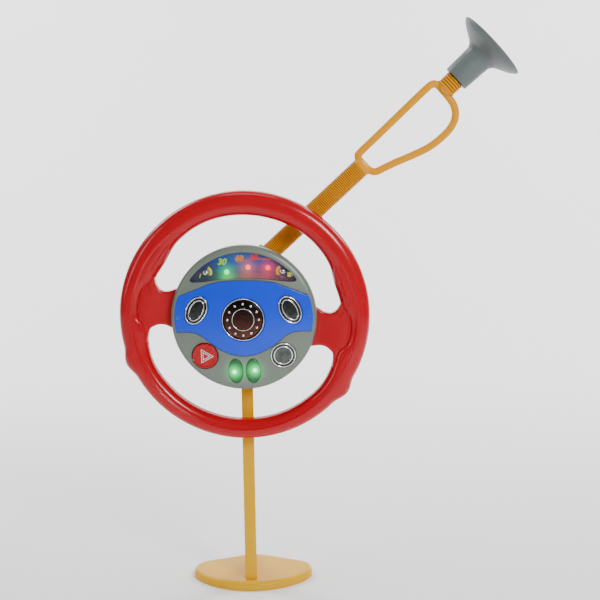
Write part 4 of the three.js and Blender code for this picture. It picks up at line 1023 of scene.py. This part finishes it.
def lit_plastic(name, x, z, colour, strength):
    """A lit lamp's resin: coloured all through, almost white round its middle."""
    material = moulded(name, colour, 0.15, wander=0.05)
    tree = material.node_tree
    pale = tuple(0.55 + 0.45 * c for c in colour)
    middle = radial_glow(tree, [(x, z)], 2.6, pale, 1.0)
    shine(material, mix_colours(tree, 1.0, (*colour, 1), middle, "ADD"), strength)
    return material


LAMP_RADIUS, LAMP_BASE, LAMP_LIGHT = 2.5, -8.4, 3.0
bulbs = [(name, DASH_DEPTH - 2.8, x, z, colour, name, f"lamp_{name.split('_')[0]}")
         for name, (x, z, colour) in lamp_places.items()]
bulbs += [(f"{side}_indicator", -12.7, x, z, LAMP_GREEN, f"{side}_indicator_lamp", "lamp_green")
          for (x, z), side in zip(indicator_places, ("left", "right"))]
for name, tip, x, z, colour, node, slot in bulbs:
    bulb = [(LAMP_RADIUS * math.sin(q), tip + LAMP_RADIUS - LAMP_RADIUS * math.cos(q)) for q in quarter]
    bulb += [(LAMP_RADIUS, LAMP_BASE), (0, LAMP_BASE)]
    lamp = skin(f"{name}_bulb", turned(x, z, bulb), crease=50)
    finish_piece(lamp, lit_plastic(f"lit_{name}", x, z, colour, LAMP_LIGHT), "console", [node])

# The clear lens snaps into the window, a little below the dome's surface.
clear = moulded("clear_plastic", (0.06, 0.07, 0.1), 0.07, wander=0.02, grain=0.0, Alpha=0.14,
                Specular_IOR_Level=0.9)
lens = skin("dash_window", *pierced_sheet(
    window_loop(-0.5), [], lambda x, z: dome(x, z) + 0.4, 1.0, quarter_edge(0.2, 1.0), spacing=3.0),
    crease=40)
finish_piece(lens, clear, "console", ["dash_lens"])

# ---- Stand ----
# One glossy yellow moulding: a T-section post, a fin behind its foot, and a foot
# plate with a bowed front edge, hollow and ribbed underneath.

stand_yellow = moulded("glossy_yellow_plastic", (0.72, 0.38, 0.0), 0.34, wander=0.08, grain=0.03,
                       grain_size=1.2, Specular_IOR_Level=0.16)
FLOOR = (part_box("stand")[0][2] - hub[2]) * 1000
FOOT_TOP, FOOT_ROUND, FOOT_WALL = FLOOR + 9, 4.5, 2.6


def bezier(points, count=24):
    """Points on a Bezier curve of any order, without its last point."""
    share = np.linspace(0, 1, count + 1)[:-1][:, None]
    points = np.asarray(points, float)
    order = len(points) - 1
    return sum(math.comb(order, i) * (1 - share) ** (order - i) * share ** i * points[i]
               for i in range(order + 1))


def foot_loop(shrink):
    """The foot plate's outline in x and y: a bowed front, rounded ends and a low V behind."""
    half = 63
    loop = np.concatenate([
        bezier([(-half, 46), (-half + 2, 30), (-half + 28, 3), (0, 3)], 40),
        bezier([(0, 3), (half - 28, 3), (half - 2, 30), (half, 46)], 40),
        bezier([(half, 46), (half + 1, 64), (half - 10, 70)], 16),
        bezier([(half - 10, 70), (10, 89.4)], 24), bezier([(10, 89.4), (0, 93), (-10, 89.4)], 10),
        bezier([(-10, 89.4), (-half + 10, 70)], 24),
        bezier([(-half + 10, 70), (-half - 1, 64), (-half, 46)], 16)])
    loop = even_loop(loop, 1.6)
    out = loop_normals(loop)
    return loop - out * shrink


foot_sections = [(0.3, FLOOR), (0.0, FLOOR + 0.4)]
foot_sections += [(FOOT_ROUND * (1 - math.cos(q)), FOOT_TOP - FOOT_ROUND + FOOT_ROUND * math.sin(q))
                  for q in np.linspace(0, np.pi / 2, 9)]
foot_rings = [foot_loop(shrink) for shrink, _ in foot_sections]
foot_heights = [height for _, height in foot_sections]
top_loop, top_centre = foot_rings[-1], np.array([0.0, 44.0])
for share in np.linspace(0.94, 0.02, 16):
    foot_rings.append(top_centre + (top_loop - top_centre) * share)
    foot_heights.append(FOOT_TOP)
under = [(0.3, FLOOR), (FOOT_WALL, FLOOR), (2.8, FOOT_TOP - FOOT_WALL)]
under_rings = [foot_loop(shrink) for shrink, _ in under]
under_heights = [height for _, height in under]
for share in np.linspace(0.9, 0.02, 10):
    under_rings.append(top_centre + (under_rings[2] - top_centre) * share)
    under_heights.append(FOOT_TOP - FOOT_WALL)


def stacked(rings, heights):
    """Rings of (x, y) at heights, as one closed sheet with its last ring filled."""
    rings = np.stack(rings)
    heights = np.broadcast_to(np.asarray(heights, float)[:, None], rings.shape[:2])
    points = at_hub(rings[..., 0], rings[..., 1], heights)
    rows, columns = heights.shape
    faces = grid_faces(rows, columns, wrap_columns=True).tolist()
    return points, faces + [list(range((rows - 1) * columns, rows * columns))]


def rounded_bar(x_half, y_range, z_range, radius):
    """An upright bar with rounded corners."""
    quarter = np.linspace(0, np.pi / 2, 5)
    x_mid, y_mid = x_half - radius, (y_range[1] - y_range[0]) / 2 - radius
    centre = (y_range[0] + y_range[1]) / 2
    corner = [(sx * x_mid + radius * math.cos(q + start), sy * y_mid + radius * math.sin(q + start))
              for start, sx, sy in ((0, 1, 1), (np.pi / 2, -1, 1), (np.pi, -1, -1), (1.5 * np.pi, 1, -1))
              for q in quarter]
    section = np.array(corner)
    levels = np.linspace(*z_range, 24)[:, None]
    x = section[None, :, 0] + 0 * levels
    y = centre + section[None, :, 1] + 0 * levels
    return at_hub(x, y, levels + 0 * x), capped_faces(*x.shape)


def fin(x_half, outline, radius=0.6):
    """A flat fin drawn in y and z, its long edges rounded."""
    loop = even_loop(np.array(outline, float), 1.5)
    out = loop_normals(loop)
    turn = np.linspace(-np.pi / 2, np.pi / 2, 7)
    sections = [(x_half * math.sin(t), radius * (1 - math.cos(t))) for t in turn]
    rings = np.stack([loop - out * inset for _, inset in sections])
    x = np.array([s for s, _ in sections])[:, None] + 0 * rings[..., 0]
    return at_hub(x, rings[..., 0], rings[..., 1]), capped_faces(*x.shape)


POST_TOP = -45.0
post_flange = rounded_bar(6.0, (14.0, 16.8), (FOOT_TOP - 1, POST_TOP), 0.9)
post_web = rounded_bar(1.3, (15.0, 28.0), (FOOT_TOP - 1.2, POST_TOP - 0.2), 0.5)
gusset = fin(1.15, [(16, FOOT_TOP - 1), (86, FOOT_TOP - 1), (86, FOOT_TOP + 0.5), (60, FOOT_TOP + 16),
                   (40, FOOT_TOP + 36), (28, FOOT_TOP + 52), (16, FOOT_TOP + 52)])
foot_rib_x = fin(1.5, [(5.5, FLOOR + 0.2), (90, FLOOR + 0.2), (90, FOOT_TOP - 2), (5.5, FOOT_TOP - 2)])
foot_rib_y = rounded_bar(58, (45.5, 48.5), (FLOOR + 0.3, FOOT_TOP - 1.9), 0.5)
turn = np.linspace(0, 2 * np.pi, 49)[:-1][None, :]
boss_rows = np.array([(0, FLOOR), (8.6, FLOOR), (9, FLOOR + 0.4), (9, FOOT_TOP - 2), (0, FOOT_TOP - 2)])
foot_boss = (at_hub(boss_rows[:, 0][:, None] * np.cos(turn), 47 + boss_rows[:, 0][:, None] * np.sin(turn),
                    boss_rows[:, 1][:, None] + 0 * turn), grid_faces(5, 48, wrap_columns=True))
stand = skin("stand_moulding", stacked(foot_rings, foot_heights), stacked(under_rings, under_heights),
             post_flange, post_web, gusset, foot_rib_x, foot_rib_y, foot_boss, crease=40)
finish_piece(stand, stand_yellow, "console", ["stand"])

# ---- Arm ----
# A bendy ribbed tube pushed over a black root, with an orange grab loop plugged into
# its end. The loop's round neck carries the suction cup. The arm swings on its bolt.

arm_orange = moulded("satin_orange_plastic", (0.76, 0.31, 0.0), 0.4, wander=0.1, grain=0.02,
                     grain_size=1.6, Specular_IOR_Level=0.16)
pivot = np.array(joints["arm_swing"]["pos_m"])
arm_way = np.array(joints["cup_twist"]["axis"])
arm_way = arm_way / np.linalg.norm(arm_way)
arm_over = np.array([-arm_way[2], 0, arm_way[0]])


def on_arm(distance, over, back):
    """A place given by millimetres along the arm from its pivot, over it and behind it."""
    distance, over, back = np.broadcast_arrays(distance, over, back)
    return (pivot + distance[..., None] / 1000 * arm_way + over[..., None] / 1000 * arm_over
            + back[..., None] / 1000 * np.array([0, 1, 0]))


def turned_along(profile, segments=64):
    """A solid turned about the arm from (distance, radius) points, ending on the axis or
    closing on itself."""
    profile = np.asarray(profile, float)
    turn = np.linspace(0, 2 * np.pi, segments + 1)[:-1][None, :]
    distance, radius = profile[:, 0][:, None], profile[:, 1][:, None]
    points = on_arm(distance + 0 * turn, radius * np.sin(turn), radius * np.cos(turn))
    return points, grid_faces(len(profile), segments, wrap_columns=True)


# Painted shade: light hardly reaches the bottom of a groove, so the colour is painted darker there.
orange_tree = arm_orange.node_tree
orange_shader = orange_tree.nodes["Principled BSDF"]
orange_base = orange_shader.inputs["Base Color"].links[0].from_socket
groove_depth = add_node(orange_tree, "ShaderNodeAttribute", {"attribute_name": "groove"})
groove_painted_shade = mix_colours(orange_tree, groove_depth.outputs["Fac"], orange_base, (0.18, 0.035, 0.0, 1))
orange_tree.links.new(groove_painted_shade, orange_shader.inputs["Base Color"])


def mark_grooves(piece, start, end, radius, depth):
    """Marks how deep each point lies in the ribs between two distances: 0 on a crest,
    1 at the bottom of a groove."""
    places = np.empty(len(piece.data.vertices) * 3)
    piece.data.vertices.foreach_get("co", places)
    away = places.reshape(-1, 3) - pivot
    distance = away @ arm_way
    from_axis = np.linalg.norm(away - distance[:, None] * arm_way, axis=1)
    groove = np.clip((radius / 1000 - from_axis) / (depth / 1000), 0, 1)
    groove *= (distance > start / 1000) & (distance < end / 1000)
    piece.data.attributes.new("groove", "FLOAT", "POINT").data.foreach_set("value", groove)


def ribs(start, end, pitch, radius, depth, steps=8):
    """A ribbed tube's outer line: its radius dips between ribs as a power of a sine."""
    count = round((end - start) / pitch)
    at = np.linspace(0, count, count * steps + 1)
    dip = np.abs(np.sin(np.pi * at)) ** 0.9
    return np.stack([start + at * (end - start) / count, radius - depth * (1 - dip)], axis=-1)


TUBE_START, TUBE_END, TUBE_BORE = 18.4, 158.0, 7.0
tube_line = np.concatenate([[[TUBE_START, TUBE_BORE]], ribs(TUBE_START, TUBE_END, 2.0, 10.0, 1.1),
                            [[TUBE_END, TUBE_BORE], [TUBE_START, TUBE_BORE]]])
tube = skin("arm_ribbed_tube", turned_along(tube_line, 56), crease=60)
mark_grooves(tube, TUBE_START, TUBE_END, 9.9, 1.0)
finish_piece(tube, arm_orange, "arm", ["ribbed_arm"])

loop_middle = np.array([
    (163.3, 0), (163.4, 6), (165, 10.2), (169, 11.6), (190, 11.9), (215, 12.3), (240, 12.7),
    (261, 12.9), (267.8, 11.6), (270.3, 7.5), (270.4, 0), (270.2, -8), (268.4, -18.4), (262.4, -27),
    (252, -32), (238, -33.1), (222, -31.4), (205, -26.2), (188, -20), (175, -15.9), (167.4, -13.2),
    (163.8, -7.5)])
closed = np.concatenate([loop_middle[-3:], loop_middle, loop_middle[:4]])
fine = np.linspace(3, 3 + len(loop_middle), 361)[:-1]
loop_line = np.stack([eased(fine, np.arange(len(closed)), closed[:, k]) for k in (0, 1)], axis=-1)
loop_out = loop_normals(loop_line)
bar_turn = np.linspace(0, 2 * np.pi, 25)[:-1][None, :]
bar_half = 3.75
bar_points = on_arm(loop_line[:, 0][:, None] + loop_out[:, 0][:, None] * bar_half * np.cos(bar_turn),
                    loop_line[:, 1][:, None] + loop_out[:, 1][:, None] * bar_half * np.cos(bar_turn),
                    3.2 * np.sin(bar_turn) + 0 * loop_line[:, 0][:, None])
loop_bar = (bar_points, grid_faces(360, 24, wrap_rows=True, wrap_columns=True))
peg = turned_along([(144, 0), (144, 6.7), (157.8, 6.7), (158.2, 9.6), (159.5, 10), (161, 9.9), (163, 9.0),
                    (165, 6.5), (165.8, 4), (166, 0)])
NECK_START, CUP_MOUTH = 273.0, 287.0
neck_line = np.concatenate([[[269, 0], [269.5, 5], [271, 8.2], [272.4, 9.4]],
                            ribs(NECK_START, CUP_MOUTH - 0.4, 2.6, 10.3, 1.3, 10),
                            [[CUP_MOUTH - 0.3, 8], [CUP_MOUTH + 17.5, 8], [CUP_MOUTH + 18, 7.4],
                             [CUP_MOUTH + 18, 0]]])
loop_piece = skin("arm_grab_loop", loop_bar, peg, turned_along(neck_line), crease=60)
mark_grooves(loop_piece, NECK_START + 1, CUP_MOUTH, 10.2, 1.2)
finish_piece(loop_piece, arm_orange, "arm", ["grab_loop"])

# ---- Suction cup ----
# Soft grey rubber, a thick socket on the neck's peg that flares into a thin bell.

cup_grey = moulded("soft_grey_rubber", (0.115, 0.135, 0.135), 0.42, wander=0.12, grain=0.02,
                   grain_size=1.6, Specular_IOR_Level=0.4)
bell = curve_through([(317, 14.6), (321.5, 17.8), (325, 23.6), (329.5, 31.8), (333.8, 37.1)], 12)
hollow = curve_through([(335, 34.2), (331.5, 26), (327.2, 13.6), (325.4, 6), (325.2, 0.001)], 12)
cup_line = np.concatenate([
    [(CUP_MOUTH + 19, 0), (CUP_MOUTH + 19, 8.4), (CUP_MOUTH, 8.4), (CUP_MOUTH, 12.6),
     (CUP_MOUTH + 0.25, 13.2), (CUP_MOUTH + 0.9, 13.55), (CUP_MOUTH + 10, 13.9),
     (CUP_MOUTH + 22, 14.25)],
    bell, [(335.0, 37.6), (335.7, 37.3), (335.9, 36.7)], hollow])
cup = skin("suction_cup_rubber", turned_along(cup_line, 112), crease=50)
finish_piece(cup, cup_grey, "cup", ["suction_cup"])

# ---- Back of the console and the pieces inside ----
# A black textured case carries the battery box, its door, the switch and the arm's
# bolt. Board, speaker, cells, springs and screws are inside or behind it.


def polished(name, bevel=0.0, crease=32):
    """A copy of a CAD node with its doubles merged, shaded smooth over small angles, and
    its sharp edges bevelled if bevel is a size in millimetres."""
    source = frame["nodes"][name]
    mesh = source.data.copy()
    mesh.materials.clear()
    shape = bmesh.new()
    shape.from_mesh(mesh)
    bmesh.ops.remove_doubles(shape, verts=shape.verts, dist=5e-6)
    bmesh.ops.dissolve_limit(shape, angle_limit=math.radians(0.5), verts=shape.verts, edges=shape.edges)
    shape.to_mesh(mesh)
    shape.free()
    mesh.shade_smooth()
    mesh.set_sharp_from_angle(angle=math.radians(crease))
    piece = bpy.data.objects.new(f"{name}_finished", mesh)
    bpy.context.scene.collection.objects.link(piece)
    if bevel:
        soften = piece.modifiers.new("soft_edges", "BEVEL")
        soften.width, soften.segments = bevel / 1000, 2
        soften.limit_method, soften.angle_limit = "ANGLE", math.radians(45)
        soften.use_clamp_overlap = True
    return piece


case_black = moulded("textured_black_plastic", (0.035, 0.037, 0.036), 0.5, wander=0.2, grain=0.35,
                     grain_size=0.45)
bright_steel = moulded("bright_zinc_steel", (0.6, 0.61, 0.63), 0.28, wander=0.15, grain=0.05, Metallic=1.0)
black_paper = moulded("black_speaker_paper", (0.03, 0.03, 0.032), 0.8, wander=0.3, grain=0.4, grain_size=0.6)
board_green = moulded("green_solder_mask", (0.02, 0.17, 0.06), 0.3, wander=0.25, grain=0.1, grain_size=2.0)
cell_sleeve = moulded("printed_cell_sleeve", (0.05, 0.16, 0.09), 0.25, wander=0.3, grain=0.05, Metallic=0.3)
steel_nodes = [f"housing_screw_{i}" for i in range(1, 5)] + [f"battery_spring_{i}" for i in range(1, 4)]
steel_nodes += ["left_contact_plate", "right_contact_plate", "stand_screw_1", "stand_screw_2",
                "arm_pivot_bolt", "arm_pivot_nut"]
finish_list = [(name, bright_steel, "console", "steel", 0.15) for name in steel_nodes]
finish_list += [(f"wheel_screw_{i}", bright_steel, "wheel", "steel", 0.15) for i in range(1, 5)]
finish_list += [
    ("door_screw", bright_steel, "battery_cover", "steel", 0.15),
    ("rear_housing", case_black, "console", "case_black", 0.0),
    ("battery_door", case_black, "battery_cover", "case_black", 0.4),
    ("arm_root", case_black, "arm", "case_black", 0.0),
    ("switch_knob", wheel_red, "switch", "wheel_red", 0.3),
    ("speaker", black_paper, "console", "black_plastic", 0.0),
    ("circuit_board", board_green, "console", "board", 0.0)]
finish_list += [(f"battery_{i}", cell_sleeve, "console", "cell", 0.0) for i in range(1, 4)]
for name, material, body, slot, bevel in finish_list:
    finish_piece(polished(name, bevel), material, body, [name])
